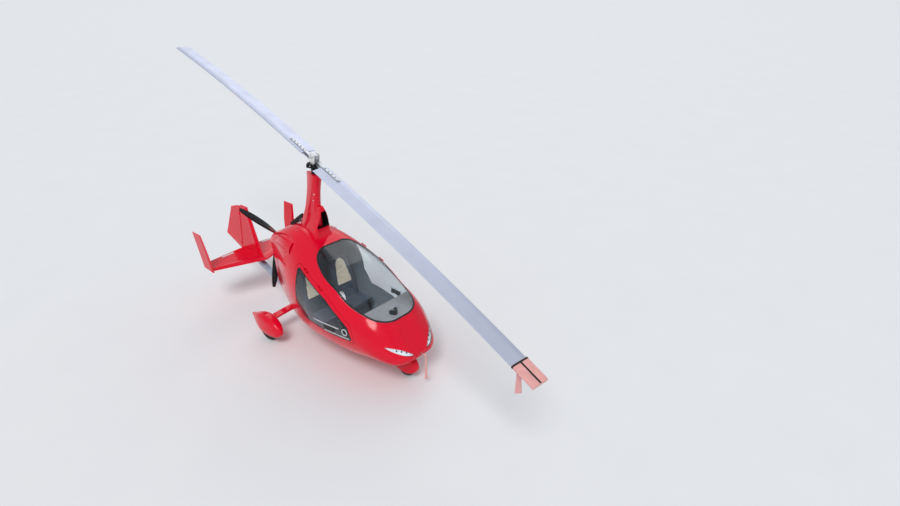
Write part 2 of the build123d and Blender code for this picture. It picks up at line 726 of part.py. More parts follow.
prop_blade = Solid.make_loft([prop_ring(*station) for station in prop_stations], ruled=False)
prop_blades = None
for number in range(prop_count):
    angle = prop_angle + number * 360 / prop_count
    placed = at(prop_x, 0, prop_z) * Rot(angle, 0, 0) * prop_blade - hub
    prop_blades = placed if prop_blades is None else prop_blades + placed
save(prop_blades, "propeller_blades")


def wheel(radius, width):
    """A tyre and its rim about an axis along Y at the origin, as two solids."""
    rim_r = radius * 0.56
    half = width / 2
    bead = half * 0.78
    tread = Curve() + [
        Line((rim_r + 0.3, -bead), (radius * 0.82, -half)),
        ThreePointArc((radius * 0.82, -half), (radius, 0), (radius * 0.82, half)),
        Line((radius * 0.82, half), (rim_r + 0.3, bead)),
        Line((rim_r + 0.3, bead), (rim_r + 0.3, -bead)),
    ]
    tyre = revolve(make_face(tread), axis=Axis.Y)
    bore = axle_r + run_gap
    hub_half = half * 0.8
    rim_line = [
        (bore, -hub_half), (bore + 18, -hub_half), (bore + 18, -7), (rim_r - 12, -7), (rim_r - 12, -bead - 3),
        (rim_r, -bead - 3), (rim_r, bead + 3), (rim_r - 12, bead + 3), (rim_r - 12, 7), (bore + 18, 7),
        (bore + 18, hub_half), (bore, hub_half),
    ]
    rim = revolve(make_face(Polyline(*rim_line, close=True)), axis=Axis.Y)
    hole_r = (rim_r - bore) * 0.14
    ring_r = (rim_r - 12 + bore + 18) / 2
    for number in range(6):
        spoke = Rot(0, number * 60, 0) * at(ring_r, 0, 0) * Rot(90, 0, 0) * Cylinder(hole_r, 40)
        rim = rim - spoke
    return tyre, rim


def bar_between(start, end, half):
    """A square bar between two x, z points in the centre plane."""
    a = Vector(start[0], 0, start[1])
    b = Vector(end[0], 0, end[1])
    length = (b - a).length
    return Plane(a, x_dir=b - a, z_dir=(0, -1, 0)) * block(0, length, -half, half, -half, half)


# Tail: plane, winglets, boom, fin and rudder
tail_rings = []
for y, lead_x, lead_z, trail_x, trail_z, thick in tail_sections:
    tail_rings.append(foil_ring((lead_x, y, lead_z), (trail_x, y, trail_z), (0, 0, 1), thick, 7))
tail_plane = Solid.make_loft(tail_rings, ruled=True)
winglet_rings = []
for z, lead_x, trail_x, y, thick in winglet_sections:
    winglet_rings.append(foil_ring((lead_x, y, z), (trail_x, y, z), (0, 1, 0), thick, 5))
winglet = Solid.make_loft(winglet_rings, ruled=True)
winglets = both_sides(winglet)
save(tail_plane - winglets, "tail_plane")
save(winglets, "winglets")
bend_x, bend_z = boom_line[1]
elbow = rod((bend_x, -boom_half, bend_z), (bend_x, boom_half, bend_z), boom_half)
keel = bar_between(boom_line[0], boom_line[1], boom_half) + elbow
boom = keel + bar_between(boom_line[1], boom_line[2], boom_half)
save(boom - tail_plane - outside, "tail_boom")
hinge_base = Vector(hinge_foot[0], 0, hinge_foot[1])
hinge_span = Vector(hinge_head[0], 0, hinge_head[1]) - hinge_base
hinge_dir = hinge_span.normalized()


def hinge_x(z):
    """The rudder axis's x at height z."""
    return hinge_base.X + (z - hinge_base.Z) * hinge_span.X / hinge_span.Z


fin_rings = []
for z, lead_x, thick in fin_sections:
    rear = hinge_x(z) + rudder_nose + rudder_gap
    fin_rings.append(foil_ring((lead_x, 0, z), (rear, 0, z), (0, 1, 0), thick, 2 * rudder_nose - 6))
fin = Solid.make_loft(fin_rings, ruled=True) - tail_plane - boom
rudder_rings = []
for z, trail_x in rudder_sections:
    x = hinge_x(z)
    nose = Edge.make_three_point_arc((x, rudder_nose, z), (x + rudder_nose, 0, z), (x, -rudder_nose, z))
    corners = [(x, -rudder_nose, z), (trail_x, -rudder_tail / 2, z), (trail_x, rudder_tail / 2, z), (x, rudder_nose, z)]
    sides = [Edge.make_line(corners[k], corners[k + 1]) for k in range(3)]
    rudder_rings.append(Wire([nose] + sides))
rudder = Solid.make_loft(rudder_rings, ruled=True)
half_lug = lug_height / 2
for share in lug_shares:
    spot = Plane(hinge_base + hinge_span * share, x_dir=hinge_dir.cross(Vector(0, -1, 0)), z_dir=hinge_dir)
    lug = block(0, rudder_nose + rudder_gap + 25, -9, 9, -half_lug, half_lug) + Cylinder(lug_r, lug_height)
    fin = fin + spot * (lug + Cylinder(rudder_pin_r, lug_height + 32))
    notch = block(-lug_r - move_gap, 60, -60, 60, -half_lug - 3, half_lug + 3)
    rudder = rudder - spot * (notch + Cylinder(rudder_pin_r + run_gap, lug_height + 36))
save(fin, "tail_fin")
save(rudder, "rudder")

# Main gear: bow on the keel with its stub axles, wheels and spats
slope = (boom_line[1][1] - boom_line[0][1]) / (boom_line[1][0] - boom_line[0][0])
keel_top = boom_line[0][1] + (bow_x - boom_line[0][0]) * slope + boom_half
bow_out = bow_y + bow_thick / 2
bow_in = bow_y - bow_thick / 2
end_top = bow_end + bow_thick / 2
end_low = bow_end - bow_thick / 2
foot_z = main_r - axle_r - 12
bow_line = [ThreePointArc((-bow_out, end_top), (0, bow_low + bow_thick), (bow_out, end_top))]
bow_line += [Line((bow_out, end_top), (bow_out, foot_z)), Line((bow_out, foot_z), (bow_in, foot_z))]
bow_line += [Line((bow_in, foot_z), (bow_in, end_low))]
bow_line += [ThreePointArc((bow_in, end_low), (0, bow_low), (-bow_in, end_low))]
bow_line += [Line((-bow_in, end_low), (-bow_in, foot_z)), Line((-bow_in, foot_z), (-bow_out, foot_z))]
bow_line += [Line((-bow_out, foot_z), (-bow_out, end_top))]
bow_face = make_face(Curve() + bow_line)
bow_face = fillet([v for v in bow_face.vertices() if abs(v.Y - end_top) < 0.01], 24)
bow = extrude(at(bow_x - bow_half, 0, 0) * (Plane.YZ * bow_face), amount=2 * bow_half, dir=(1, 0, 0))
saddle = block(bow_x - bow_half, bow_x + bow_half, -boom_half - 10, boom_half + 10, keel_top - 25, bow_low + 6)
hub_in = main_y - main_width * 0.4
hub_out = main_y + main_width * 0.4
spat_out = main_y + max(station[4] for station in main_spat)
stub = rod((main_x, bow_y - 8, main_r), (main_x, spat_out - 1, main_r), axle_r)
stub = stub + rod((main_x, bow_y - 8, main_r), (main_x, hub_in - 3, main_r), axle_r + 11)
stub = stub + rod((main_x, hub_out + 3, main_r), (main_x, hub_out + 13, main_r), axle_r + 8)
save(bow + saddle + both_sides(stub) - keel, "gear_bow")
tyre, rim = wheel(main_r, main_width)
for side, place in (("left", main_y), ("right", -main_y)):
    save(at(main_x, place, main_r) * tyre, f"wheel_{side}_tyre")
    save(at(main_x, place, main_r) * rim, f"wheel_{side}_rim")


def spat_shell(stations, x, y, radius, width):
    """A hollow wheel cover, open below for its wheel."""
    moved = [(x + station[0],) + station[1:] for station in stations]
    shape = body_loft(moved) - body_loft(moved, spat_wall, 2 * spat_wall)
    half = width / 2 + wheel_gap
    shape = shape - rod((x, -half, radius), (x, half, radius), radius + wheel_gap)
    return at(0, y, 0) * shape


spat = spat_shell(main_spat, main_x, main_y, main_r, main_width)
stub_hole = rod((main_x, bow_y, main_r), (main_x, spat_out + 20, main_r), axle_r + seat_gap)
bow_slot = block(bow_x - bow_half - seat_gap, bow_x + bow_half + seat_gap, 600, bow_out + seat_gap,
                 foot_z - seat_gap, end_top + 8)
save(both_sides(spat - stub_hole - bow_slot), "main_spats")

# Nose gear: fork, axle, wheel and spat
nose_moved = [(nose_x + station[0],) + station[1:] for station in nose_spat]
nose_room = body_loft(nose_moved, spat_wall + seat_gap, 12.0)
crown_z = 2 * nose_r + wheel_gap
fork = block(nose_x - 45, steer_x + 45, -fork_y - fork_thick, fork_y + fork_thick, crown_z, crown_z + 60)
for y0, y1 in ((fork_y, fork_y + fork_thick), (-fork_y - fork_thick, -fork_y)):
    fork = fork + block(nose_x - fork_half, nose_x + fork_half, y0, y1, nose_r, crown_z + 5)
    fork = fork + rod((nose_x, y0, nose_r), (nose_x, y1, nose_r), fork_half)
fork = fork & nose_room
fork = fork + rod((steer_x, 0, crown_z + 4), (steer_x, 0, stem_top), stem_r)
fork = fork + rod((steer_x, 0, deck_z + 27), (steer_x, 0, deck_z + 37), stem_r + 9)
fork = fork - rod((nose_x, -100, nose_r), (nose_x, 100, nose_r), axle_r + seat_gap)
save(fork, "nose_fork")
nose_half = max(station[4] for station in nose_spat) - 1
nose_axle = rod((nose_x, -nose_half, nose_r), (nose_x, nose_half, nose_r), axle_r)
nose_axle = nose_axle - rod((nose_x, -100, nose_r), (nose_x, 100, nose_r), axle_bore)
save(nose_axle, "nose_axle")
tyre, rim = wheel(nose_r, nose_width)
save(at(nose_x, 0, nose_r) * tyre, "nose_tyre")
save(at(nose_x, 0, nose_r) * rim, "nose_rim")
cover_shell = spat_shell(nose_spat, nose_x, 0, nose_r, nose_width)
cover_shell = cover_shell - rod((nose_x, -100, nose_r), (nose_x, 100, nose_r), axle_r + seat_gap)
save(cover_shell - rod((steer_x, 0, crown_z), (steer_x, 0, 600), stem_r + seat_gap), "nose_spat")

# Pitot tube with its soft cover and hanging ribbon
pitot = rod((pod_stations[0][0] - 20, 0, pitot_z), (pitot_tip, 0, pitot_z), pitot_r) - outside
save(pitot, "pitot_tube")
sock = rod((pitot_cover_x[0], 0, pitot_z), (pitot_cover_x[1], 0, pitot_z), pitot_cover_r)
sock_room = rod((pitot_cover_x[0] - 1, 0, pitot_z), (pitot_tip + 0.5, 0, pitot_z), pitot_r + 0.5)
save(sock - sock_room, "pitot_cover")
hang_x = pitot_cover_x[0] + 40
hang_z = pitot_z - pitot_cover_r
half = pitot_ribbon_width / 2
pitot_ribbon = block(hang_x - ribbon_thick / 2, hang_x + ribbon_thick / 2, -half, half,
                     hang_z - pitot_ribbon_length, hang_z + pitot_cover_r / 2)
sock_out = rod((pitot_cover_x[0], 0, pitot_z), (pitot_cover_x[1], 0, pitot_z), pitot_cover_r + seat_gap)
save(pitot_ribbon - sock_out, "pitot_ribbon")
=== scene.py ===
from math import cos, exp, pi, radians, sin

import bmesh
import bpy
from bpy.props import FloatProperty, FloatVectorProperty, IntProperty, PointerProperty
from mathutils import Matrix, Vector


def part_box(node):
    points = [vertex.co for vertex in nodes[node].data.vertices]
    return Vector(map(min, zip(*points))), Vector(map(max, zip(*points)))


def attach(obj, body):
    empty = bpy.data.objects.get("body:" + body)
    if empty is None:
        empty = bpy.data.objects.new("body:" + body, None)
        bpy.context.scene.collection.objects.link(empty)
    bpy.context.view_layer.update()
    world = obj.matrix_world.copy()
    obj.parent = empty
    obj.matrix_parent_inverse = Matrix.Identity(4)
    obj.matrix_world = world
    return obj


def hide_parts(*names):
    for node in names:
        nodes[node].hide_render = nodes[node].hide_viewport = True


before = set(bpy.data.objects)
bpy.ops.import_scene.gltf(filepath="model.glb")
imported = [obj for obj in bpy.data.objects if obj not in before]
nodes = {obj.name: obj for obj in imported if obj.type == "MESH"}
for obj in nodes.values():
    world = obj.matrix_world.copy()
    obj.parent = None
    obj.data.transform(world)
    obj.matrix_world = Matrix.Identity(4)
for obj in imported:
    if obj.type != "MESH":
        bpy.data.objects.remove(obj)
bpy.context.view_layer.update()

bl_info = {
    "name": "Closed Cabin Gyrocopter",
    "version": (1, 0, 0),
    "blender": (4, 5, 0),
    "location": "View3D > Sidebar > Gyrocopter",
    "description": "Dresses the frame of a closed cabin gyrocopter with its finishes, trim and soft goods",
    "category": "Object",
}

# These follow the part's source, in metres: the rotor head's pivot and tilt, and the parked rotor
HEAD = Vector((-0.008, 0.0, 2.591))
HEAD_TILT = radians(8.0)
HEAD_TILT_AXIS = Vector((sin(HEAD_TILT), 0.0, cos(HEAD_TILT)))
BLADE_TURN = radians(-6.0)
TEETER_UP = 0.190
TEETER_REST = radians(8.2)
BAR_DROP = 0.065
BAR_HALF = 0.620
BLADE_CHORD = 0.225
BLADE_LEAD = 0.29
BLADE_THICK = 0.025
BLADE_DROOP = 0.165
ROTOR_RADIUS = 4.24
COVER_FROM = 3.945
COVER_TO = 4.257
# Share of a seat back's half length where its pale insert ends, and the part of it that is rounded
PALE_TO = 0.95
PALE_ROUND = 0.24
# The propeller's axis runs along x at this height, and its clamped root ends at this radius
PROP_HEIGHT = 1.29
PROP_ROOT = 0.235
# The photograph's width and its focal length in pixels, and a full frame sensor's width in mm
PHOTO_WIDTH = 900.0
PHOTO_FOCAL = 610.74
SENSOR_WIDTH = 36.0
# Thickness of the nylon of the covers and streamers
CLOTH = 0.0008
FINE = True


def spin_frame():
    """The rotor head's own frame, turned with the parked rotor."""
    turn = Matrix.Rotation(HEAD_TILT, 4, "Y") @ Matrix.Rotation(BLADE_TURN, 4, "Z")
    return Matrix.Translation(HEAD) @ turn


def teeter_frame():
    """The rotor's frame: the teeter bolt is its origin and x runs out along the forward blade."""
    return spin_frame() @ Matrix.Translation((0, 0, TEETER_UP)) @ Matrix.Rotation(TEETER_REST, 4, "Y")


def droop(s):
    """How far the blade hangs down at a distance s from the teeter bolt."""
    return -BLADE_DROOP * (max(s - BAR_HALF, 0.0) / (ROTOR_RADIUS - BAR_HALF)) ** 2


def tint_of(name, description, default):
    """A colour setting, as three sRGB values."""
    return FloatVectorProperty(
        name=name, description=description, subtype="COLOR", size=3, min=0, max=1, default=default)


def length_of(name, description, low, high, default):
    """A length setting, in metres."""
    return FloatProperty(
        name=name, description=description, unit="LENGTH", subtype="DISTANCE", min=low, max=high, default=default)


class GyroColours(bpy.types.PropertyGroup):
    """Colours of the finishes, as the eye sees them."""

    body: tint_of("Body", "Gelcoat of the pod, tail and wheel covers", (0.92, 0.01, 0.17))
    boom: tint_of("Boom", "Powder coat of the tail boom", (0.60, 0.66, 0.74))
    blade: tint_of("Blades", "Bare metal of the rotor blades", (0.81, 0.83, 0.90))
    insert: tint_of("Seat insert", "Ribbed middle of the seats", (0.95, 0.88, 0.77))
    bolster: tint_of("Seat bolster", "Sides of the seats", (0.22, 0.25, 0.31))
    cover: tint_of("Covers", "Nylon of the tip cover and streamers", (0.98, 0.71, 0.69))
    glass: tint_of("Glazing", "Tint of the clear glazing", (0.95, 0.97, 0.98))


class GyroSizes(bpy.types.PropertyGroup):
    """Sizes of the trim and soft goods."""

    seal_width: length_of("Screen seal", "Width of the rubber seal round the windscreen", 0.005, 0.04, 0.022)
    door_seal: length_of("Door seal", "Width of the rubber seal round a door window", 0.004, 0.03, 0.010)
    rib_pitch: length_of("Seat rib", "Distance between two sewn channels", 0.01, 0.08, 0.036)
    seat_crown: length_of("Seat crown", "How far a cushion swells in its middle", 0.0, 0.04, 0.014)
    screw_size: length_of("Screw head", "Radius of the cowl's screw heads", 0.002, 0.02, 0.0065)
    bar_bolts: IntProperty(
        name="Bar bolts", description="Bolts in each half of the rotor's hub bar", min=2, max=10, default=5)


def linear(value):
    """An sRGB value from 0 to 1 as linear light."""
    return value / 12.92 if value <= 0.04045 else ((value + 0.055) / 1.055) ** 2.4


def colour(code):
    """An sRGB hex code or three sRGB values, as a linear colour with alpha."""
    if isinstance(code, str):
        code = [int(code[k:k + 2], 16) / 255 for k in (0, 2, 4)]
    return (*[linear(c) for c in code], 1.0)


def shade(values, factor):
    """Three sRGB values made darker or lighter."""
    return [min(max(v * factor, 0.0), 1.0) for v in values]


def add(tree, kind, sockets=None, **settings):
    """Add one shader node with its settings, and set each named socket to a value or link it to an output."""
    made = tree.nodes.new("ShaderNode" + kind)
    for key, value in settings.items():
        setattr(made, key, value)
    for key, value in (sockets or {}).items():
        if isinstance(value, bpy.types.NodeSocket):
            tree.links.new(value, made.inputs[key])
        else:
            made.inputs[key].default_value = value
    return made


def begin(name):
    """A new material, its empty tree and the object's own coordinates."""
    material = bpy.data.materials.new(name)
    material.use_nodes = True
    material.node_tree.nodes.clear()
    return material, material.node_tree, add(material.node_tree, "TexCoord").outputs["Object"]


def finish(begun, base, second, patch_mm, rough, grain_mm, height_mm, painted=(), raised=(), clear=None, **more):
    """Complete a material with two tones in patches of patch_mm and a grain of grain_mm that is height_mm deep.

    Rough gives the lowest and highest roughness. Painted holds pairs of a factor and the colour that shows where
    it is 1. Raised holds pairs of a height and its depth in mm. Clear is the colour of lamp light that passes.
    """
    material, tree, place = begun
    patch = add(tree, "TexNoise", {"Vector": place, "Scale": 1000 / patch_mm, "Detail": 3.0}).outputs["Fac"]
    tone = add(tree, "Mix", {0: patch, 6: colour(base), 7: colour(second)}, data_type="RGBA")
    for factor, code in painted:
        tone = add(tree, "Mix", {0: factor, 6: tone.outputs[2], 7: colour(code)}, data_type="RGBA")
    grain = add(tree, "TexNoise", {"Vector": place, "Scale": 1000 / grain_mm, "Detail": 2.0}).outputs["Fac"]
    relief = add(tree, "Bump", {"Height": grain, "Distance": height_mm / 1000})
    for height, depth_mm in raised:
        relief = add(tree, "Bump", {
            "Height": height, "Distance": depth_mm / 1000, "Normal": relief.outputs["Normal"]})
    spread = add(tree, "MapRange", {"Value": patch, "To Min": rough[0], "To Max": rough[1]})
    shader = add(tree, "BsdfPrincipled", {
        "Base Color": tone.outputs[2], "Roughness": spread.outputs["Result"], "Normal": relief.outputs["Normal"],
        **{key.replace("_", " ").title().replace("Ior", "IOR"): value for key, value in more.items()}})
    surface = shader.outputs["BSDF"]
    if clear:
        lamp_ray = add(tree, "LightPath").outputs["Is Shadow Ray"]
        through = add(tree, "BsdfTransparent", {"Color": colour(clear)}).outputs["BSDF"]
        surface = add(tree, "MixShader", {0: lamp_ray, 1: surface, 2: through}).outputs[0]
    add(tree, "OutputMaterial", {"Surface": surface})
    return material


def gelcoat(name, base, creased=False, lined=False):
    """Sprayed gelcoat on moulded composite: deep gloss with a faint ripple, dulled in patches by dust."""
    begun = begin(name)
    _, tree, place = begun
    painted, raised = [], []
    # The nose has a raised panel: one crease on each side, which fades out towards the windscreen
    if creased:
        x, y, _ = add(tree, "SeparateXYZ", {"Vector": place}).outputs
        along = add(tree, "MapRange", {"Value": x, "From Min": 1.50, "From Max": 1.60}).outputs["Result"]
        past = add(tree, "Math", {0: x, 1: 1.54}, operation="SUBTRACT").outputs[0]
        bend = add(tree, "Math", {0: past, 1: past}, operation="MULTIPLY").outputs[0]
        port = add(tree, "Math", {0: bend, 1: -1.6, 2: 0.372}, operation="MULTIPLY_ADD").outputs[0]
        for line in (-0.160, port):
            off = add(tree, "Math", {0: y, 1: line}, operation="SUBTRACT").outputs[0]
            off = add(tree, "Math", {0: off}, operation="ABSOLUTE").outputs[0]
            fold = add(tree, "MapRange", {"Value": off, "From Max": 0.05, "To Min": 1.0, "To Max": 0.0})
            height = add(tree, "Math", {0: fold.outputs["Result"], 1: along}, operation="MULTIPLY")
            raised.append((height.outputs[0], 7.0))
    # Faces that look in towards the middle of the pod carry the grey cabin lining
    if lined:
        out = add(tree, "VectorMath", {0: place, 1: (0.5, 0.0, 0.75)}, operation="SUBTRACT").outputs["Vector"]
        normal = add(tree, "NewGeometry").outputs["Normal"]
        facing = add(tree, "VectorMath", {0: out, 1: normal}, operation="DOT_PRODUCT").outputs["Value"]
        painted.append((add(tree, "Math", {0: facing, 1: -0.04}, operation="LESS_THAN").outputs[0], "5F646B"))
    return finish(begun, base, shade(base, 0.93), 420, (0.12, 0.20), 16, 0.05, painted, raised,
                  coat_weight=0.22, coat_roughness=0.05, specular_ior_level=0.20)


def powder_coat(name, base):
    """Powder coated tube: satin, with the fine orange peel that the baked powder leaves."""
    return finish(begin(name), base, shade(base, 0.9), 160, (0.30, 0.42), 2.2, 0.06, coat_weight=0.2)


def drawn_aluminium(name, base, stretch=(0.02, 1.0, 1.0)):
    """Extruded aluminium: drawn lines along its length, and a slightly uneven sheen."""
    begun = begin(name)
    _, tree, place = begun
    turned = add(tree, "Mapping", {"Vector": place, "Scale": stretch}).outputs["Vector"]
    lines = add(tree, "TexNoise", {"Vector": turned, "Scale": 400.0, "Detail": 2.0}).outputs["Fac"]
    return finish(begun, base, shade(base, 0.93), 260, (0.44, 0.56), 6, 0.02, raised=[(lines, 0.03)], metallic=1.0)


def turned_steel(name, base):
    """Machined steel: fine tool marks and a few darker stains."""
    return finish(begin(name), base, shade(base, 0.75), 35, (0.25, 0.45), 1.4, 0.03, metallic=1.0)


def head_block(name, base):
    """Machined block of the teeter tower: bright above, on a dark anodised disc."""
    begun = begin(name)
    _, tree, place = begun
    up = tuple(HEAD_TILT_AXIS)
    disc_top = HEAD.dot(HEAD_TILT_AXIS) + 0.089
    along = add(tree, "VectorMath", {0: place, 1: up}, operation="DOT_PRODUCT").outputs["Value"]
    low = add(tree, "Math", {0: along, 1: disc_top}, operation="LESS_THAN").outputs[0]
    return finish(begun, base, shade(base, 0.9), 60, (0.30, 0.42), 1.8, 0.05, painted=[(low, "1C1D20")],
                  metallic=0.35)


def cast_metal(name, base):
    """Sand cast alloy: a coarse grain, dull and slightly oily."""
    return finish(begin(name), base, shade(base, 0.7), 60, (0.45, 0.68), 2.5, 0.25, metallic=0.6)


def moulded_plastic(name, base, rough=(0.38, 0.52), grain_mm=1.6, height_mm=0.06):
    """Injection moulded ABS: an even leather-like grain that breaks up the shine."""
    begun = begin(name)
    _, tree, place = begun
    cells = add(tree, "TexVoronoi", {"Vector": place, "Scale": 1000 / (grain_mm * 1.6)}).outputs["Distance"]
    return finish(begun, base, shade(base, 0.85), 90, rough, grain_mm, height_mm, raised=[(cells, height_mm)],
                  specular_ior_level=0.35)


def seal_rubber(name):
    """Extruded rubber: matt black with a dusty bloom."""
    return finish(begin(name), "15171C", "23262C", 45, (0.50, 0.68), 1.2, 0.05, specular_ior_level=0.3)


def tyre_rubber(name):
    """Moulded tyre: dusty rubber with three grooves round its tread."""
    begun = begin(name)
    _, tree, place = begun
    y = add(tree, "SeparateXYZ", {"Vector": place}).outputs["Y"]
    lane = add(tree, "Math", {0: y, 1: 0.0175}, operation="PINGPONG").outputs[0]
    tread = add(tree, "Math", {0: lane, 1: 0.0025}, operation="GREATER_THAN").outputs[0]
    return finish(begun, "1A1A1B", "2E2C2A", 30, (0.62, 0.82), 2.0, 0.15, raised=[(tread, 2.0)])


def woven_cloth(name, base, thread_mm, rough=(0.72, 0.88), sheen=0.25):
    """Plain woven cloth: threads that cross at thread_mm, drawn coarser than real so that they show."""
    begun = begin(name)
    _, tree, place = begun
    warp, weft = [add(tree, "TexWave", {
        "Vector": place, "Scale": 1000 / thread_mm / 2, "Distortion": 0.6, "Detail": 1.0},
        bands_direction=way).outputs["Fac"] for way in ("X", "Z")]
    weave = add(tree, "Math", {0: warp, 1: weft}, operation="MULTIPLY").outputs[0]
    return finish(begun, base, shade(base, 0.84), 70, rough, 4.0, 0.15, raised=[(weave, 0.3)],
                  sheen_weight=sheen, sheen_roughness=0.4)


def clear_glazing(name, tint):
    """Blown polycarbonate: clear with a cool tint, wiped so often that its shine has faint streaks."""
    return finish(begin(name), tint, shade(tint, 0.97), 300, (0.0, 0.03), 60, 0.01, clear=tint,
                  transmission_weight=1.0, ior=1.35)


def prop_composite(name):
    """Moulded composite propeller: gloss black, and dark red at the clamped root."""
    begun = begin(name)
    _, tree, place = begun
    flat = add(tree, "VectorMath", {0: place, 1: (0.0, 1.0, 1.0)}, operation="MULTIPLY").outputs["Vector"]
    away = add(tree, "VectorMath", {0: flat, 1: (0.0, 0.0, PROP_HEIGHT)}, operation="DISTANCE").outputs["Value"]
    root = add(tree, "Math", {0: away, 1: PROP_ROOT}, operation="LESS_THAN").outputs[0]
    return finish(begun, "08090B", "121418", 80, (0.22, 0.38), 3.0, 0.03, painted=[(root, "7A1420")],
                  coat_weight=0.15, specular_ior_level=0.3)


def radiator_core(name):
    """Radiator core: black painted fins at 4 mm, which shade each other. On the walls of the intake's recess the
    same near-black is painted shade.
    """
    begun = begin(name)
    _, tree, place = begun
    fins = add(tree, "TexWave", {"Vector": place, "Scale": 125.0}, bands_direction="Y").outputs["Fac"]
    return finish(begun, "080809", "141415", 40, (0.6, 0.8), 3.0, 0.1, raised=[(fins, 1.5)],
                  specular_ior_level=0.2)


def piece(name, bm, finishes, body, smooth=38.0, replaced=None):
    """Turn a bmesh into a piece with the named finishes, one or several, that rides on a body."""
    bmesh.ops.recalc_face_normals(bm, faces=bm.faces[:])
    mesh = bpy.data.meshes.new(name)
    bm.to_mesh(mesh)
    bm.free()
    if not mesh.polygons:
        raise RuntimeError(f"{name} came out empty")
    mesh.polygons.foreach_set("use_smooth", [True] * len(mesh.polygons))
    mesh.set_sharp_from_angle(angle=radians(smooth))
    made = bpy.data.objects.new(name, mesh)
    bpy.context.scene.collection.objects.link(made)
    for finish_name in finishes.split():
        if finish_name not in bpy.data.materials:
            raise RuntimeError(f"the finishes come before the piece that uses {finish_name}")
        mesh.materials.append(bpy.data.materials[finish_name])
    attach(made, body)
    if replaced:
        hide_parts(replaced)
    return made


def soften(bm, geom, offset, segments=2, affect="EDGES"):
    """Round off edges, or the corners of a flat face."""
    bmesh.ops.bevel(bm, geom=geom, offset=offset, segments=segments, profile=0.5, affect=affect, material=-1)


def bar(bm, start, end, radius, segments=16, end_radius=None, cut=0.0):
    """A round bar between two points, with its rims bevelled by cut."""
    start, end = Vector(start), Vector(end)
    along = end - start
    turn = along.to_track_quat("Z", "Y").to_matrix().to_4x4()
    made = bmesh.ops.create_cone(
        bm, cap_ends=True, segments=segments, radius1=radius, radius2=radius if end_radius is None else end_radius,
        depth=along.length, matrix=Matrix.Translation((start + end) / 2) @ turn)
    if cut:
        rims = {e for v in made["verts"] for e in v.link_edges if any(len(f.verts) > 4 for f in e.link_faces)}
        soften(bm, list(rims), cut)


def slab(bm, size, matrix, cut=0.002):
    """A rounded block of the given size at a matrix."""
    made = bmesh.ops.create_cube(bm, size=1.0, matrix=matrix @ Matrix.Diagonal((*size, 1.0)))
    edges = list({e for v in made["verts"] for e in v.link_edges})
    if cut:
        soften(bm, edges, cut)


def hex_bolt(bm, matrix, size, height):
    """A hexagon bolt head on a washer, standing on the matrix's xy plane."""
    bmesh.ops.create_cone(bm, cap_ends=True, segments=20, radius1=size * 1.25, radius2=size * 1.25,
                          depth=height * 0.25, matrix=matrix @ Matrix.Translation((0, 0, height * 0.125)))
    bmesh.ops.create_cone(bm, cap_ends=True, segments=6, radius1=size, radius2=size * 0.94, depth=height,
                          matrix=matrix @ Matrix.Translation((0, 0, height * 0.25 + height / 2)))


def skin_point(node, start, direction):
    """Where a line from start first meets a CAD node, and the surface's outward direction there."""
    hit, place, normal, _ = nodes[node].ray_cast(Vector(start), Vector(direction))
    if not hit:
        raise RuntimeError(f"nothing of {node} lies at {tuple(start)}")
    return place, normal if normal.dot(Vector(direction)) < 0 else -normal


def lay_on(verts, node, direction, lift):
    """Move flat verts along a direction until they lie on a CAD node, lifted off it."""
    direction = Vector(direction).normalized()
    for vert in verts:
        place, normal = skin_point(node, vert.co - direction * 1.0, direction)
        vert.co = place + normal * lift


def thicken(bm, thickness):
    """Give flat faces a thickness on one side, which its sign picks."""
    bmesh.ops.recalc_face_normals(bm, faces=bm.faces[:])
    bmesh.ops.solidify(bm, geom=bm.faces[:], thickness=thickness)


def copy_outer(node, outward):
    """The outer faces of a CAD node as one merged sheet. Outward says which face normals are kept."""
    bm = bmesh.new()
    bm.from_mesh(nodes[node].data)
    bmesh.ops.remove_doubles(bm, verts=bm.verts[:], dist=0.00002)
    bmesh.ops.recalc_face_normals(bm, faces=bm.faces[:])
    bm.normal_update()
    extra = [face for face in bm.faces if not outward(face.normal)]
    bmesh.ops.delete(bm, geom=extra, context="FACES")
    return bm


def rim_band(name, node, outward, width, thickness, body):
    """A rubber band round the edge of a pane, which stands proud of it by its thickness."""
    bm = copy_outer(node, outward)
    band = bmesh.ops.inset_region(bm, faces=bm.faces[:], thickness=width, use_boundary=True, use_even_offset=True)
    kept = set(band["faces"])
    bmesh.ops.delete(bm, geom=[face for face in bm.faces if face not in kept], context="FACES")
    for vert in bm.verts:
        vert.co += vert.normal * thickness
    bm.normal_update()
    made = bmesh.ops.extrude_face_region(bm, geom=bm.faces[:])
    for vert in (v for v in made["geom"] if isinstance(v, bmesh.types.BMVert)):
        vert.co -= vert.normal * (thickness * 1.05)
    piece(name, bm, "seal_rubber", body)


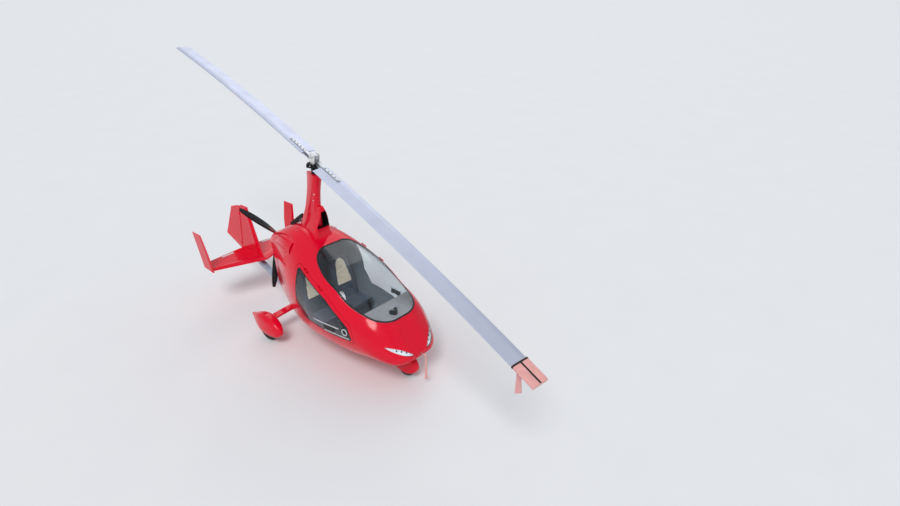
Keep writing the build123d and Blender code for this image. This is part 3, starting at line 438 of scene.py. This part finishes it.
class GYRO_OT_finishes(bpy.types.Operator):
    """Make every finish and give it to the CAD nodes"""

    bl_idname = "gyro.finishes"
    bl_label = "Finishes"

    def execute(self, context):
        c = context.scene.gyro_colours
        red = list(c.body)
        # Columns: what makes the finish, its name, and what it is made from
        made = {row[1]: row[0](*row[1:]) for row in (
            (gelcoat, "red_gelcoat", red),
            (gelcoat, "red_gelcoat_pod", red, True, True),
            (gelcoat, "red_gelcoat_door", red, False, True),
            (powder_coat, "boom_powder_coat", list(c.boom)),
            (drawn_aluminium, "blade_aluminium", list(c.blade)),
            (drawn_aluminium, "rim_aluminium", [0.72, 0.73, 0.75], (1.0, 1.0, 1.0)),
            (turned_steel, "bright_steel", [0.82, 0.83, 0.85]),
            (turned_steel, "dark_steel", [0.20, 0.21, 0.23]),
            (head_block, "head_block", [0.93, 0.93, 0.92]),
            (cast_metal, "engine_casting", [0.24, 0.24, 0.25]),
            (moulded_plastic, "black_abs", [0.06, 0.062, 0.07]),
            (moulded_plastic, "grey_abs", [0.38, 0.40, 0.43]),
            (moulded_plastic, "glare_flock", [0.58, 0.56, 0.57], (0.8, 0.92), 2.4, 0.12),
            (moulded_plastic, "white_abs", [0.88, 0.89, 0.90], (0.30, 0.42), 2.0, 0.02),
            (seal_rubber, "seal_rubber"),
            (tyre_rubber, "tyre_rubber"),
            (woven_cloth, "floor_carpet", [0.15, 0.16, 0.18], 5.0),
            (woven_cloth, "seat_insert", list(c.insert), 3.0),
            (woven_cloth, "seat_bolster", list(c.bolster), 3.0),
            (woven_cloth, "cover_nylon", list(c.cover), 4.0, (0.5, 0.68), 0.15),
            (woven_cloth, "strap_webbing", [0.07, 0.07, 0.08], 3.0),
            (clear_glazing, "screen_glazing", list(c.glass)),
            (clear_glazing, "lamp_lens", [0.96, 0.97, 0.98]),
            (prop_composite, "prop_composite"),
            (radiator_core, "radiator_core"),
        )}
        given = {
            "red_gelcoat_pod": ["cabin_shell", "cabin_tub"],
            "red_gelcoat_door": ["door_left_frame", "door_right_frame"],
            "red_gelcoat": ["door_hinges", "engine_cowl", "pylon_fairing", "air_scoops", "tail_plane", "winglets",
                            "tail_fin", "rudder", "gear_bow", "main_spats", "nose_spat"],
            "boom_powder_coat": ["tail_boom"],
            "blade_aluminium": ["blade_forward", "blade_aft"],
            "rim_aluminium": ["wheel_left_rim", "wheel_right_rim", "nose_rim"],
            "bright_steel": ["nose_axle", "pitot_tube", "rudder_pedals", "steering_deck", "hub_bar"],
            "dark_steel": ["mast", "head_gimbal", "bearing_head", "nose_fork", "engine_mount"],
            "head_block": ["teeter_tower"],
            "engine_casting": ["engine_block", "propeller_hub"],
            "black_abs": ["pylon_brace", "compass", "control_sticks", "centre_console"],
            "grey_abs": ["firewall", "seat_bases"],
            "glare_flock": ["instrument_panel"],
            "tyre_rubber": ["wheel_left_tyre", "wheel_right_tyre", "nose_tyre"],
            "floor_carpet": ["cabin_floor"],
            "screen_glazing": ["windscreen", "door_left_glass", "door_right_glass"],
            "lamp_lens": ["nose_lamps"],
            "prop_composite": ["propeller_blades"],
            "seat_insert": ["seat_cushions", "seat_backs"],
            "cover_nylon": ["tip_cover", "tip_ribbon", "pitot_cover", "pitot_ribbon"],
        }
        dressed = [name for names in given.values() for name in names]
        if sorted(dressed) != sorted(nodes):
            raise RuntimeError(f"these nodes have no finish: {sorted(set(nodes) ^ set(dressed))}")
        for finish_name, names in given.items():
            for name in names:
                mesh = nodes[name].data
                mesh.materials.clear()
                mesh.materials.append(made[finish_name])
        return {"FINISHED"}


class GYRO_OT_seals(bpy.types.Operator):
    """Rubber seals round the windscreen and the door windows"""

    bl_idname = "gyro.seals"
    bl_label = "Window seals"

    def execute(self, context):
        sizes = context.scene.gyro_sizes
        rim_band("windscreen_seal", "windscreen", lambda n: n.z > 0.12, sizes.seal_width, 0.003, "airframe")
        for side, door in ((-1, "door_right"), (1, "door_left")):
            rim_band(f"{door}_seal", f"{door}_glass", lambda n: side * n.y > 0.15, sizes.door_seal, 0.002, door)
        return {"FINISHED"}


class GYRO_OT_window_vents(bpy.types.Operator):
    """Sliding vent with its rails and the round air vent on each door window"""

    bl_idname = "gyro.window_vents"
    bl_label = "Window vents"

    def execute(self, context):
        for side, name in ((-1, "right"), (1, "left")):
            node, body = f"door_{name}_glass", f"door_{name}"
            inward = (0, -side, 0)
            turn = Matrix.Rotation(radians(90), 4, "X")
            rails = bmesh.new()
            slide = bmesh.new()
            # Columns: target, middle x, middle z, half length, half height, lean in degrees
            for target, x, z, half_x, half_z, lean in (
                    (rails, 0.735, 0.763, 0.240, 0.007, 2.5), (rails, 0.912, 0.656, 0.240, 0.006, 3.6),
                    (slide, 0.790, 0.7165, 0.105, 0.036, 3.0)):
                place = Matrix.Translation((x, side * 0.9, z)) @ Matrix.Rotation(radians(-lean), 4, "Y") @ turn
                steps = 24 if half_x > 0.1 else 6
                made = bmesh.ops.create_grid(target, x_segments=steps, y_segments=2, size=1.0,
                                             matrix=place @ Matrix.Diagonal((half_x, half_z, 1.0, 1.0)))
                lay_on(made["verts"], node, inward, 0.0005)
            for target in (rails, slide):
                thicken(target, -0.004)
            piece(f"door_{name}_vent_rails", rails, "white_abs", body)
            piece(f"door_{name}_vent_slide", slide, "black_abs", body)
            ring = bmesh.new()
            place = Matrix.Translation((1.078, side * 0.9, 0.755)) @ turn
            made = bmesh.ops.create_circle(ring, cap_ends=True, segments=36, radius=0.048, matrix=place)
            inner = bmesh.ops.inset_region(ring, faces=ring.faces[:], thickness=0.012, use_boundary=True)
            middle = [face for face in ring.faces if face not in set(inner["faces"])]
            bmesh.ops.delete(ring, geom=middle, context="FACES")
            lay_on(ring.verts[:], node, inward, 0.0005)
            thicken(ring, -0.007)
            soften(ring, ring.edges[:], 0.001, 1)
            piece(f"door_{name}_vent_ring", ring, "white_abs", body)
            flap = bmesh.new()
            bmesh.ops.create_circle(flap, cap_ends=True, segments=24, radius=0.018, matrix=place)
            bmesh.ops.inset_region(flap, faces=flap.faces[:], thickness=0.006, use_boundary=True)
            lay_on(flap.verts[:], node, inward, 0.0004)
            thicken(flap, -0.003)
            piece(f"door_{name}_vent_knob", flap, "black_abs", body)
        return {"FINISHED"}


def seat_pad(name, size, place, sizes, taper, pale_from, replaced):
    """A sewn seat pad: a rounded block with a crown, raised bolsters, and a ribbed insert between two welts.

    The insert is pale from pale_from to PALE_TO, as a share of the pad's half length, with a rounded top.
    """
    bm = bmesh.new()
    bmesh.ops.create_cube(bm, size=2.0)
    # Finer along the pad, where the sewn channels cross it
    long_edges = [e for e in bm.edges if abs(e.verts[0].co.x - e.verts[1].co.x) > 1.0]
    bmesh.ops.subdivide_edges(bm, edges=long_edges, cuts=int(size[0] / 0.0058), use_grid_fill=True)
    short_edges = [e for e in bm.edges if abs(e.verts[0].co.x - e.verts[1].co.x) < 0.001]
    bmesh.ops.subdivide_edges(bm, edges=short_edges, cuts=31 if FINE else 15, use_grid_fill=True)
    half = Vector(size) / 2
    round_by = 0.030
    # The welt's place as a share of the half width, then the bolster's rise, a seam's depth and its half width
    split_at = 0.60
    bolster_up, seam_deep, seam_half, sunk = 0.012, 0.007, 0.005, 0.010
    for vert in bm.verts:
        a, b, c = vert.co
        narrow = 1.0 - taper * max(a, 0.0) ** 2
        pull = 1.0 - 0.025 * (1.0 - a * a)
        point = Vector((a * half.x * (1.0 - 0.02 * (1.0 - b * b)), b * half.y * narrow * pull, c * half.z))
        core = Vector([max(min(v, h - round_by), round_by - h) for v, h in zip(
            point, (half.x, half.y * narrow * pull, half.z))])
        off = point - core
        if off.length > 1e-9:
            point = core + off.normalized() * min(off.length, round_by)
        if c > 0.0:
            top = (1.0 - a ** 4) * (1.0 - b ** 4) * c
            bolster = exp(-((abs(b) - 0.80) / 0.15) ** 2) * bolster_up
            welt = exp(-((abs(b) - split_at) * half.y / seam_half) ** 2) * seam_deep
            rib = 0.0
            if abs(b) < split_at:
                phase = (a * half.x) / sizes.rib_pitch
                near = (phase - round(phase)) * sizes.rib_pitch
                rib = exp(-(near / seam_half) ** 2) * seam_deep
            swell = sizes.seat_crown * (1.0 - b * b) * (1.0 - a * a) * c
            point.z += swell + (bolster - welt - rib) * top - sunk * c
        vert.co = point
    bm.normal_update()
    for face in bm.faces:
        middle = face.calc_center_median()
        along = middle.x / half.x
        inside = abs(middle.y) < split_at * half.y * (1.0 - taper * max(along, 0.0) ** 2)
        cap = 1.0 - (max(along - PALE_TO + PALE_ROUND, 0.0) / PALE_ROUND) ** 2
        pale = pale_from < along < PALE_TO and abs(middle.y) < (
            split_at * half.y * (1.0 - 0.45 * max(along, 0.0)) * max(cap, 0.0) ** 0.5)
        face.material_index = 0 if inside and pale and face.normal.z > 0.5 else 1
    bmesh.ops.transform(bm, matrix=place, verts=bm.verts[:])
    made = piece(name, bm, "seat_insert seat_bolster", "airframe", 60.0, replaced)


class GYRO_OT_seats(bpy.types.Operator):
    """Cushions and backs of both seats"""

    bl_idname = "gyro.seats"
    bl_label = "Seats"

    def execute(self, context):
        sizes = context.scene.gyro_sizes
        lean = radians(14.0)
        for side, name in ((-1, "right"), (1, "left")):
            y = side * 0.270
            flat = Matrix.Translation((0.290, y, 0.530))
            seat_pad(f"seat_{name}_cushion", (0.312, 0.402, 0.116), flat, sizes, 0.0, 2.0, "seat_cushions")
            stand = Matrix.Translation((-0.0085, y, 0.815)) @ Matrix.Rotation(-lean, 4, "Y")
            back = stand @ Matrix(((0, 0, 1, 0), (0, 1, 0, 0), (1, 0, 0, 0), (0, 0, 0, 1)))
            seat_pad(f"seat_{name}_back", (0.670, 0.400, 0.096), back, sizes, 0.30, -0.19, "seat_backs")
        return {"FINISHED"}


class GYRO_OT_panel(bpy.types.Operator):
    """Dials, display and switches of the instrument panel, and the compass pod on the glareshield"""

    bl_idname = "gyro.panel"
    bl_label = "Instruments"

    def execute(self, context):
        face_x = 1.150
        bezels = bmesh.new()
        glasses = bmesh.new()
        # Columns: y, z, radius
        for y, z, radius in ((0.30, 0.82, 0.040), (0.30, 0.735, 0.034), (0.20, 0.78, 0.040), (-0.30, 0.82, 0.040),
                             (-0.30, 0.735, 0.034), (-0.20, 0.78, 0.040)):
            bar(bezels, (face_x + 0.002, y, z), (face_x - 0.008, y, z), radius, 32, radius * 0.92, 0.001)
            bar(glasses, (face_x - 0.007, y, z), (face_x - 0.0092, y, z), radius * 0.80, 28)
        slab(bezels, (0.010, 0.27, 0.15), Matrix.Translation((face_x - 0.004, 0, 0.80)), 0.003)
        slab(glasses, (0.004, 0.235, 0.118), Matrix.Translation((face_x - 0.0085, 0, 0.803)), 0.001)
        for k in range(8):
            y, z = 0.105 - k * 0.03, 0.712
            bar(bezels, (face_x + 0.002, y, z), (face_x - 0.014, y, z), 0.005, 12)
        piece("panel_bezels", bezels, "black_abs", "airframe")
        piece("panel_glasses", glasses, "black_abs", "airframe")
        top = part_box("compass")[1].z
        pod = bmesh.new()
        rings = bmesh.new()
        for x, y, radius in ((1.390, -0.044, 0.028), (1.385, 0.038, 0.030), (1.428, 0.004, 0.026)):
            middle = Matrix.Translation((x, y, top + radius * 0.5)) @ Matrix.Rotation(radians(-62), 4, "Y")
            bmesh.ops.create_uvsphere(pod, u_segments=28, v_segments=16, radius=radius, matrix=middle)
            bar(pod, (x, y, top - 0.018), (x, y, top + 0.004), radius * 0.7, 20, radius * 0.55, 0.001)
            start, ring_end, lens_end = [middle @ Vector((0, 0, radius * out)) for out in (0.80, 0.93, 0.96)]
            bar(rings, start, ring_end, radius * 0.62, 24, radius * 0.55, 0.001)
            bar(pod, start, lens_end, radius * 0.46, 20)
        piece("compass_pods", pod, "black_abs", "airframe")
        piece("compass_rings", rings, "white_abs", "airframe")
        return {"FINISHED"}


class GYRO_OT_lamps(bpy.types.Operator):
    """White housings and dark reflectors behind the nose lamps"""

    bl_idname = "gyro.lamps"
    bl_label = "Lamps"

    def execute(self, context):
        depth = 0.0125
        back = copy_outer("nose_lamps", lambda n: n.x > 0.12)
        for vert in back.verts:
            vert.co -= vert.normal * depth
        bmesh.ops.recalc_face_normals(back, faces=back.faces[:])
        bmesh.ops.solidify(back, geom=back.faces[:], thickness=0.002)
        piece("lamp_housings", back, "white_abs", "airframe")
        bowls = bmesh.new()
        for side in (-1, 1):
            for y, z, radius in ((0.200, 0.575, 0.012), (0.255, 0.602, 0.013), (0.310, 0.622, 0.012)):
                place, normal = skin_point("nose_lamps", (2.2, side * y, z), (-1, 0, 0))
                bar(bowls, place - normal * depth, place - normal * (depth - 0.004), radius, 24, radius * 0.8)
        piece("lamp_reflectors", bowls, "dark_steel", "airframe")
        return {"FINISHED"}


class GYRO_OT_cowl_trim(bpy.types.Operator):
    """Screws, the intake's radiator with its walls in painted shade, aerial and handle of the cowl and pylon"""

    bl_idname = "gyro.cowl_trim"
    bl_label = "Cowl and pylon trim"

    def execute(self, context):
        size = context.scene.gyro_sizes.screw_size
        screws = bmesh.new()
        count, reach, first, sweep = 26, 1.4, -32, 244
        # Columns: x of the ring of screws, and the node that it holds
        for x, node in ((-0.312, "cabin_shell"), (-0.350, "engine_cowl")):
            for k in range(count):
                angle = radians(first + k * sweep / (count - 1))
                out = Vector((0, cos(angle), sin(angle)))
                start = Vector((x, 0, 0.93)) + out * reach
                hit, place, normal, _ = nodes[node].ray_cast(start, -out)
                if not hit or (place - start).length > 1.1:
                    continue
                bar(screws, place - normal * 0.001, place + normal * 0.0018, size, 14, size * 0.8)
        piece("cowl_screws", screws, "bright_steel", "airframe")
        caps = bmesh.new()
        for side in (-1, 1):
            for x, z in ((-0.015, 2.245), (-0.046, 2.148)):
                place, normal = skin_point("pylon_fairing", (x, side * 0.6, z), (0, -side, 0))
                bar(caps, place - normal * 0.001, place + normal * 0.004, size * 1.5, 18, size * 1.2, 0.0008)
        piece("pylon_caps", caps, "white_abs", "airframe")
        # Intake: a black lining that runs from the opening's edge, which leans with its height, to its back. Its
        # back is the radiator's black core, and its black walls are painted shade in the recess
        edge_x, edge_z, edge_lean, depth, inset = 0.048, 1.74, 0.128, 0.088, 0.004
        lining = bmesh.new()
        # Columns: y, z of the opening's corners
        corners = [lining.verts.new((edge_x - depth, y, z)) for y, z in (
            (-0.1065, 1.7565), (0.1065, 1.7565), (0.0385, 2.0035), (-0.0385, 2.0035))]
        lining.faces.new(corners)
        soften(lining, corners, 0.014, 4, "VERTICES")
        front = bmesh.ops.extrude_face_region(lining, geom=lining.faces[:])["geom"]
        for vert in (v for v in front if isinstance(v, bmesh.types.BMVert)):
            vert.co.x = edge_x + (vert.co.z - edge_z) * edge_lean - inset
        bmesh.ops.delete(lining, geom=[f for f in front if isinstance(f, bmesh.types.BMFace)], context="FACES")
        bmesh.ops.recalc_face_normals(lining, faces=lining.faces[:])
        bmesh.ops.solidify(lining, geom=lining.faces[:], thickness=0.0012)
        # The near-black on the intake's walls is painted shade; at its back it is the radiator
        piece("intake_radiator_and_shade", lining, "radiator_core", "airframe")
        aerial = bmesh.new()
        bar(aerial, (-0.700, 0.0, 1.590), (-0.700, 0.0, 1.700), 0.006, 14, 0.0036, 0.001)
        piece("cowl_aerial", aerial, "black_abs", "airframe")
        handle = bmesh.new()
        thick = 0.006
        ends = [Vector(point) for point in (
            (-0.491, 0.0, 1.664), (-0.470, 0.006, 1.683), (-0.425, 0.020, 1.690), (-0.404, 0.026, 1.672))]
        for start, end in zip(ends, ends[1:]):
            bar(handle, start, end, thick, 14)
        for point in ends[1:3]:
            bmesh.ops.create_uvsphere(handle, u_segments=14, v_segments=8, radius=thick,
                                      matrix=Matrix.Translation(point))
        piece("cowl_handle", handle, "white_abs", "airframe")
        return {"FINISHED"}


class GYRO_OT_rotor_fittings(bpy.types.Operator):
    """Bolts of the hub bar, nuts of the teeter bolt, and the head's toothed ring with its starter drive"""

    bl_idname = "gyro.rotor_fittings"
    bl_label = "Rotor fittings"

    def execute(self, context):
        count = context.scene.gyro_sizes.bar_bolts
        place = teeter_frame()
        bolts = bmesh.new()
        strap_top = -BAR_DROP + BLADE_THICK + 0.0006 + 0.008
        for side in (-1, 1):
            for k in range(count):
                x = side * (0.270 + k * 0.30 / max(count - 1, 1))
                for up, z in ((1, strap_top), (-1, -BAR_DROP - 0.020)):
                    flip = Matrix.Identity(4) if up > 0 else Matrix.Rotation(pi, 4, "X")
                    hex_bolt(bolts, place @ Matrix.Translation((x, 0, z)) @ flip, 0.0085, 0.008)
        for side in (-1, 1):
            nut = Matrix.Translation((0, side * 0.0445, 0)) @ Matrix.Rotation(-side * pi / 2, 4, "X")
            hex_bolt(bolts, place @ nut, 0.017, 0.012)
        piece("rotor_bolts", bolts, "bright_steel", "rotor")
        cover = bmesh.new()
        ring = spin_frame()
        for k in range(8):
            angle = radians(22.5 + 45 * k)
            spot = Matrix.Translation((0.070 * cos(angle), 0.070 * sin(angle), 0.086))
            hex_bolt(cover, ring @ spot, 0.006, 0.006)
        # A toothed ring under the disc, which the starter drive turns before a flight
        teeth = 48
        for k in range(teeth):
            angle = 2 * pi * k / teeth
            tooth = ring @ Matrix.Translation((0.0905 * cos(angle), 0.0905 * sin(angle), 0.083))
            slab(cover, (0.009, 0.006, 0.006), tooth @ Matrix.Rotation(angle, 4, "Z"), 0.0)
        piece("head_disc_bolts", cover, "dark_steel", "rotor_tower")
        head = Matrix.Translation(HEAD) @ Matrix.Rotation(HEAD_TILT, 4, "Y")
        drive = bmesh.new()
        for x, y in ((-0.098, -0.040), (-0.098, 0.046)):
            bar(drive, head @ Vector((x, y, 0.004)), head @ Vector((x, y, 0.052)), 0.021, 24, 0.021, 0.002)
            bar(drive, head @ Vector((x, y, 0.050)), head @ Vector((x, y, 0.074)), 0.010, 16)
            slab(drive, (0.070, 0.026, 0.008), head @ Matrix.Translation((x * 0.72, y * 0.85, 0.046)), 0.0015)
        for y in (-1, 1):
            slab(drive, (0.030, 0.052, 0.010), head @ Matrix.Translation((0.010, y * 0.072, 0.052)), 0.0015)
            hex_bolt(drive, head @ Matrix.Translation((0.010, y * 0.088, 0.057)), 0.007, 0.006)
        piece("head_starter_drive", drive, "dark_steel", "rotor_head")
        return {"FINISHED"}


class GYRO_OT_tail_trim(bpy.types.Operator):
    """Pale trim strips near the tail plane's trailing edge"""

    bl_idname = "gyro.tail_trim"
    bl_label = "Tail trim"

    def execute(self, context):
        strips = bmesh.new()
        for y in (-0.366, 0.384):
            place = Matrix.Translation((-2.170, y, 1.2))
            made = bmesh.ops.create_grid(strips, x_segments=3, y_segments=12, size=1.0,
                                         matrix=place @ Matrix.Diagonal((0.022, 0.108, 1.0, 1.0)))
            lay_on(made["verts"], "tail_plane", (0, 0, -1), 0.0006)
        thicken(strips, -0.0015)
        piece("tail_trim_strips", strips, "white_abs", "airframe")
        return {"FINISHED"}


def tube_mesh(rings):
    """A tube with one point of the mesh at each point of the rings, open at both ends."""
    bm = bmesh.new()
    count, steps = len(rings[0]), len(rings) - 1
    made = bmesh.ops.create_grid(bm, x_segments=count, y_segments=steps, size=1.0)
    for vert in made["verts"]:
        n, k = round((vert.co.x + 1) / 2 * count), round((vert.co.y + 1) / 2 * steps)
        vert.co = rings[k][n % count]
    bmesh.ops.remove_doubles(bm, verts=bm.verts[:], dist=0.00001)
    return bm


def nylon(name, bm, body, offset, replaced):
    """Nylon in place of a CAD node, with its thickness on the side that offset says."""
    made = piece(name, bm, "cover_nylon", body, 70.0, replaced)
    wall = made.modifiers.new("Wall", "SOLIDIFY")
    wall.thickness = CLOTH
    wall.offset = offset
    return made


def cloth_tube(name, rings, body, replaced):
    """A sewn nylon tube through rings of points, closed at its far end."""
    bm = tube_mesh(rings)
    far = rings[-1][0]
    near = min(bm.verts, key=lambda v: (v.co - far).length)
    rim = {edge for edge in near.link_edges if edge.is_boundary}
    while True:
        more = {edge for one in rim for v in one.verts for edge in v.link_edges if edge.is_boundary} - rim
        if not more:
            break
        rim |= more
    bmesh.ops.holes_fill(bm, edges=list(rim), sides=len(rings[0]))
    made = nylon(name, bm, body, -1.0, replaced)


def blade_ring(place, s, side_room, top_room, fold=0.0, run=0.0):
    """A flat rounded section round the forward blade at a distance s from the teeter bolt."""
    count = 48
    lead = BLADE_CHORD * BLADE_LEAD
    ring = []
    for n in range(count):
        angle = 2 * pi * n / count
        ca, sa = cos(angle), sin(angle)
        across = abs(ca) ** 0.35 * (1 if ca > 0 else -1)
        up = abs(sa) ** 0.45 * (1 if sa > 0 else -1)
        wave = fold * (1.4 * sin(7 * angle + 9 * run) * (1 - 0.4 * run) + sin(23 * run + 3 * angle))
        y = lead - BLADE_CHORD / 2 + across * (BLADE_CHORD / 2 + side_room)
        z = -BAR_DROP + droop(s) + BLADE_THICK / 2 + up * (BLADE_THICK / 2 + top_room + wave)
        ring.append(place @ Vector((s, y, z)))
    return ring


def ribbon(name, top, width_top, width_low, length, lean, turn, body, replaced):
    """A streamer that hangs from top, waves a little, widens towards its end and turns by an angle from y."""
    bm = bmesh.new()
    made = bmesh.ops.create_grid(bm, x_segments=4, y_segments=36, size=1.0)
    top = Vector(top)
    for vert in made["verts"]:
        t = (1.0 - vert.co.y) / 2
        across = vert.co.x * (width_top + (width_low - width_top) * t ** 1.5) / 2
        bow = 0.004 * sin(5.5 * t) * t + 0.0022 * vert.co.x ** 2 * sin(9 * t)
        swing = turn * min(4.0 * t, 1.0)
        vert.co = top + Vector((bow * cos(swing) + across * sin(swing) + lean[0] * t,
                                across * cos(swing) - bow * sin(swing) + lean[1] * t, -length * t))
    cloth = nylon(name, bm, body, 0.0, replaced)


class GYRO_OT_covers(bpy.types.Operator):
    """Nylon tip cover with its straps, the pitot cover and both streamers"""

    bl_idname = "gyro.covers"
    bl_label = "Covers and streamers"

    def execute(self, context):
        place = teeter_frame()
        steps = 30
        rings = []
        for k in range(steps + 1):
            t = k / steps
            # The mouth is gathered by its strap, and the closed end is drawn in
            pinch = 1.0 - 0.10 * exp(-(t / 0.05) ** 2) - 0.06 * max(t - 0.93, 0) / 0.07
            s = COVER_FROM + (COVER_TO - COVER_FROM) * t
            rings.append(blade_ring(place, s, 0.0045 * pinch, 0.0050 * pinch, fold=0.0010, run=t))
        cloth_tube("tip_cover_cloth", rings, "rotor",
                   "tip_cover")
        mouth = (COVER_FROM + 0.004, COVER_FROM + 0.024)
        straps = tube_mesh([blade_ring(place, s, 0.0080, 0.0088) for s in mouth])
        band = bmesh.ops.create_grid(straps, x_segments=24, y_segments=3, size=1.0)
        for vert in band["verts"]:
            s = (COVER_FROM + COVER_TO) / 2 + 0.008 + vert.co.x * 0.147
            y = BLADE_CHORD * (BLADE_LEAD - 0.5) + vert.co.y * 0.011
            vert.co = place @ Vector((s, y, -BAR_DROP + droop(s) + BLADE_THICK + 0.0084))
        bmesh.ops.recalc_face_normals(straps, faces=straps.faces[:])
        bmesh.ops.solidify(straps, geom=straps.faces[:], thickness=0.0012)
        piece("tip_cover_straps", straps, "strap_webbing", "rotor")
        low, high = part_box("tip_ribbon")
        ribbon("tip_streamer", ((low.x + high.x) / 2, (low.y + high.y) / 2, high.z - 0.004), 0.048, 0.076,
               high.z - low.z - 0.006, (0.0, 0.004), radians(45), "rotor", "tip_ribbon")
        low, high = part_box("pitot_cover")
        axis_z = (low.z + high.z) / 2
        rings = []
        around, steps = 20, 13
        for k in range(steps + 1):
            t = k / steps
            x = low.x + 0.0006 + (high.x - low.x - 0.0012) * t
            ring = []
            for n in range(around):
                angle = 2 * pi * n / around
                radius = 0.0098 - 0.0035 * max(t - 0.8, 0) / 0.2 - 0.0012 * exp(-((t - 0.12) / 0.05) ** 2)
                radius += 0.0004 * sin(5 * angle + 6 * t)
                ring.append(Vector((x, radius * cos(angle), axis_z + radius * sin(angle))))
            rings.append(ring)
        cloth_tube("pitot_cover_cloth", rings, "airframe", "pitot_cover")
        low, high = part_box("pitot_ribbon")
        ribbon("pitot_streamer", ((low.x + high.x) / 2, 0.0, high.z - 0.003), 0.024, 0.044, high.z - low.z - 0.005,
               (0.0, 0.0), radians(20), "airframe", "pitot_ribbon")
        return {"FINISHED"}


class GYRO_OT_stage(bpy.types.Operator):
    """Pale floor, soft studio light and the camera"""

    bl_idname = "gyro.stage"
    bl_label = "Stage"

    def execute(self, context):
        scene = context.scene
        azimuth, down, roll = radians(131.7), radians(26.6), radians(-0.53)
        look = Vector((cos(down) * cos(azimuth), cos(down) * sin(azimuth), -sin(down)))
        right = look.cross(Vector((0, 0, 1))).normalized()
        up = right.cross(look)
        right_turned = right * cos(roll) + up * sin(roll)
        up_turned = up * cos(roll) - right * sin(roll)
        data = bpy.data.cameras.new("photo_camera")
        data.sensor_width = SENSOR_WIDTH
        data.lens = PHOTO_FOCAL * SENSOR_WIDTH / PHOTO_WIDTH
        data.clip_end = 400.0
        camera = bpy.data.objects.new("photo_camera", data)
        matrix = Matrix((right_turned, up_turned, -look)).transposed().to_4x4()
        matrix.translation = Vector((6.54924, -4.64875, 5.2415))
        camera.matrix_world = matrix
        scene.collection.objects.link(camera)
        scene.camera = camera
        floor = bmesh.new()
        bmesh.ops.create_grid(floor, x_segments=1, y_segments=1, size=120.0)
        mesh = bpy.data.meshes.new("studio_floor")
        floor.to_mesh(mesh)
        floor.free()
        ground = bpy.data.objects.new("studio_floor", mesh)
        ground.location.z = -0.001
        scene.collection.objects.link(ground)
        mesh.materials.append(finish(begin("floor_paper"), "ECEDEE", "E8E9EB", 900, (0.75, 0.85), 12, 0.02))
        world = bpy.data.worlds.new("studio_world")
        scene.world = world
        world.use_nodes = True
        tree = world.node_tree
        tree.nodes.clear()
        # The camera, metal and glass see a pale backdrop, and the object gets a softer light
        path = add(tree, "LightPath").outputs
        bounced = add(tree, "Math", {0: path["Is Glossy Ray"], 1: path["Is Transmission Ray"]},
                      operation="MAXIMUM").outputs[0]
        soft = add(tree, "Background", {"Color": colour("E6EAF0"), "Strength": 0.55}).outputs[0]
        pale = add(tree, "Background", {"Color": colour("DCE0E6"), "Strength": 0.80}).outputs[0]
        backdrop = add(tree, "Background", {"Color": colour("E3E6EA"), "Strength": 1.0}).outputs[0]
        mix = add(tree, "MixShader", {0: bounced, 1: soft, 2: pale}).outputs[0]
        mix = add(tree, "MixShader", {0: path["Is Camera Ray"], 1: mix, 2: backdrop}).outputs[0]
        add(tree, "OutputWorld", {"Surface": mix})
        # Columns: name, where it shines from, half of its soft edge in degrees, power
        for name, spot, soft_edge, power in (("key_light", (3.5, -5.5, 8.0), 24.0, 1.60),
                                             ("fill_light", (-5.0, 5.5, 6.0), 40.0, 0.45)):
            lamp = bpy.data.lights.new(name, "SUN")
            lamp.angle = radians(soft_edge)
            lamp.energy = power
            made = bpy.data.objects.new(name, lamp)
            made.location = spot
            made.rotation_euler = (-Vector(spot)).to_track_quat("-Z", "Y").to_euler()
            scene.collection.objects.link(made)
        scene.view_settings.view_transform = "Standard"
        return {"FINISHED"}


OPERATORS = (
    GYRO_OT_stage, GYRO_OT_finishes, GYRO_OT_seals, GYRO_OT_window_vents, GYRO_OT_seats, GYRO_OT_panel,
    GYRO_OT_lamps, GYRO_OT_cowl_trim, GYRO_OT_rotor_fittings, GYRO_OT_tail_trim, GYRO_OT_covers,
)


class GYRO_PT_panel(bpy.types.Panel):
    """Lists the gyrocopter's steps, colours and sizes"""

    bl_idname = "GYRO_PT_panel"
    bl_label = "Gyrocopter"
    bl_space_type = "VIEW_3D"
    bl_region_type = "UI"
    bl_category = "Gyrocopter"

    def draw(self, context):
        column = self.layout.column()
        for group in (context.scene.gyro_colours, context.scene.gyro_sizes):
            for name in group.__annotations__:
                column.prop(group, name)
        for operator in OPERATORS:
            column.operator(operator.bl_idname)


CLASSES = (GyroColours, GyroSizes) + OPERATORS + (GYRO_PT_panel,)


def register():
    for one in CLASSES:
        bpy.utils.register_class(one)
    bpy.types.Scene.gyro_colours = PointerProperty(type=GyroColours)
    bpy.types.Scene.gyro_sizes = PointerProperty(type=GyroSizes)


def unregister():
    del bpy.types.Scene.gyro_sizes
    del bpy.types.Scene.gyro_colours
    for one in reversed(CLASSES):
        bpy.utils.unregister_class(one)


def main():
    """Dress the frame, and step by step."""
    register()
    for operator in OPERATORS:
        group, name = operator.bl_idname.split(".")
        getattr(getattr(bpy.ops, group), name)()


if __name__ == "__main__":
    main()
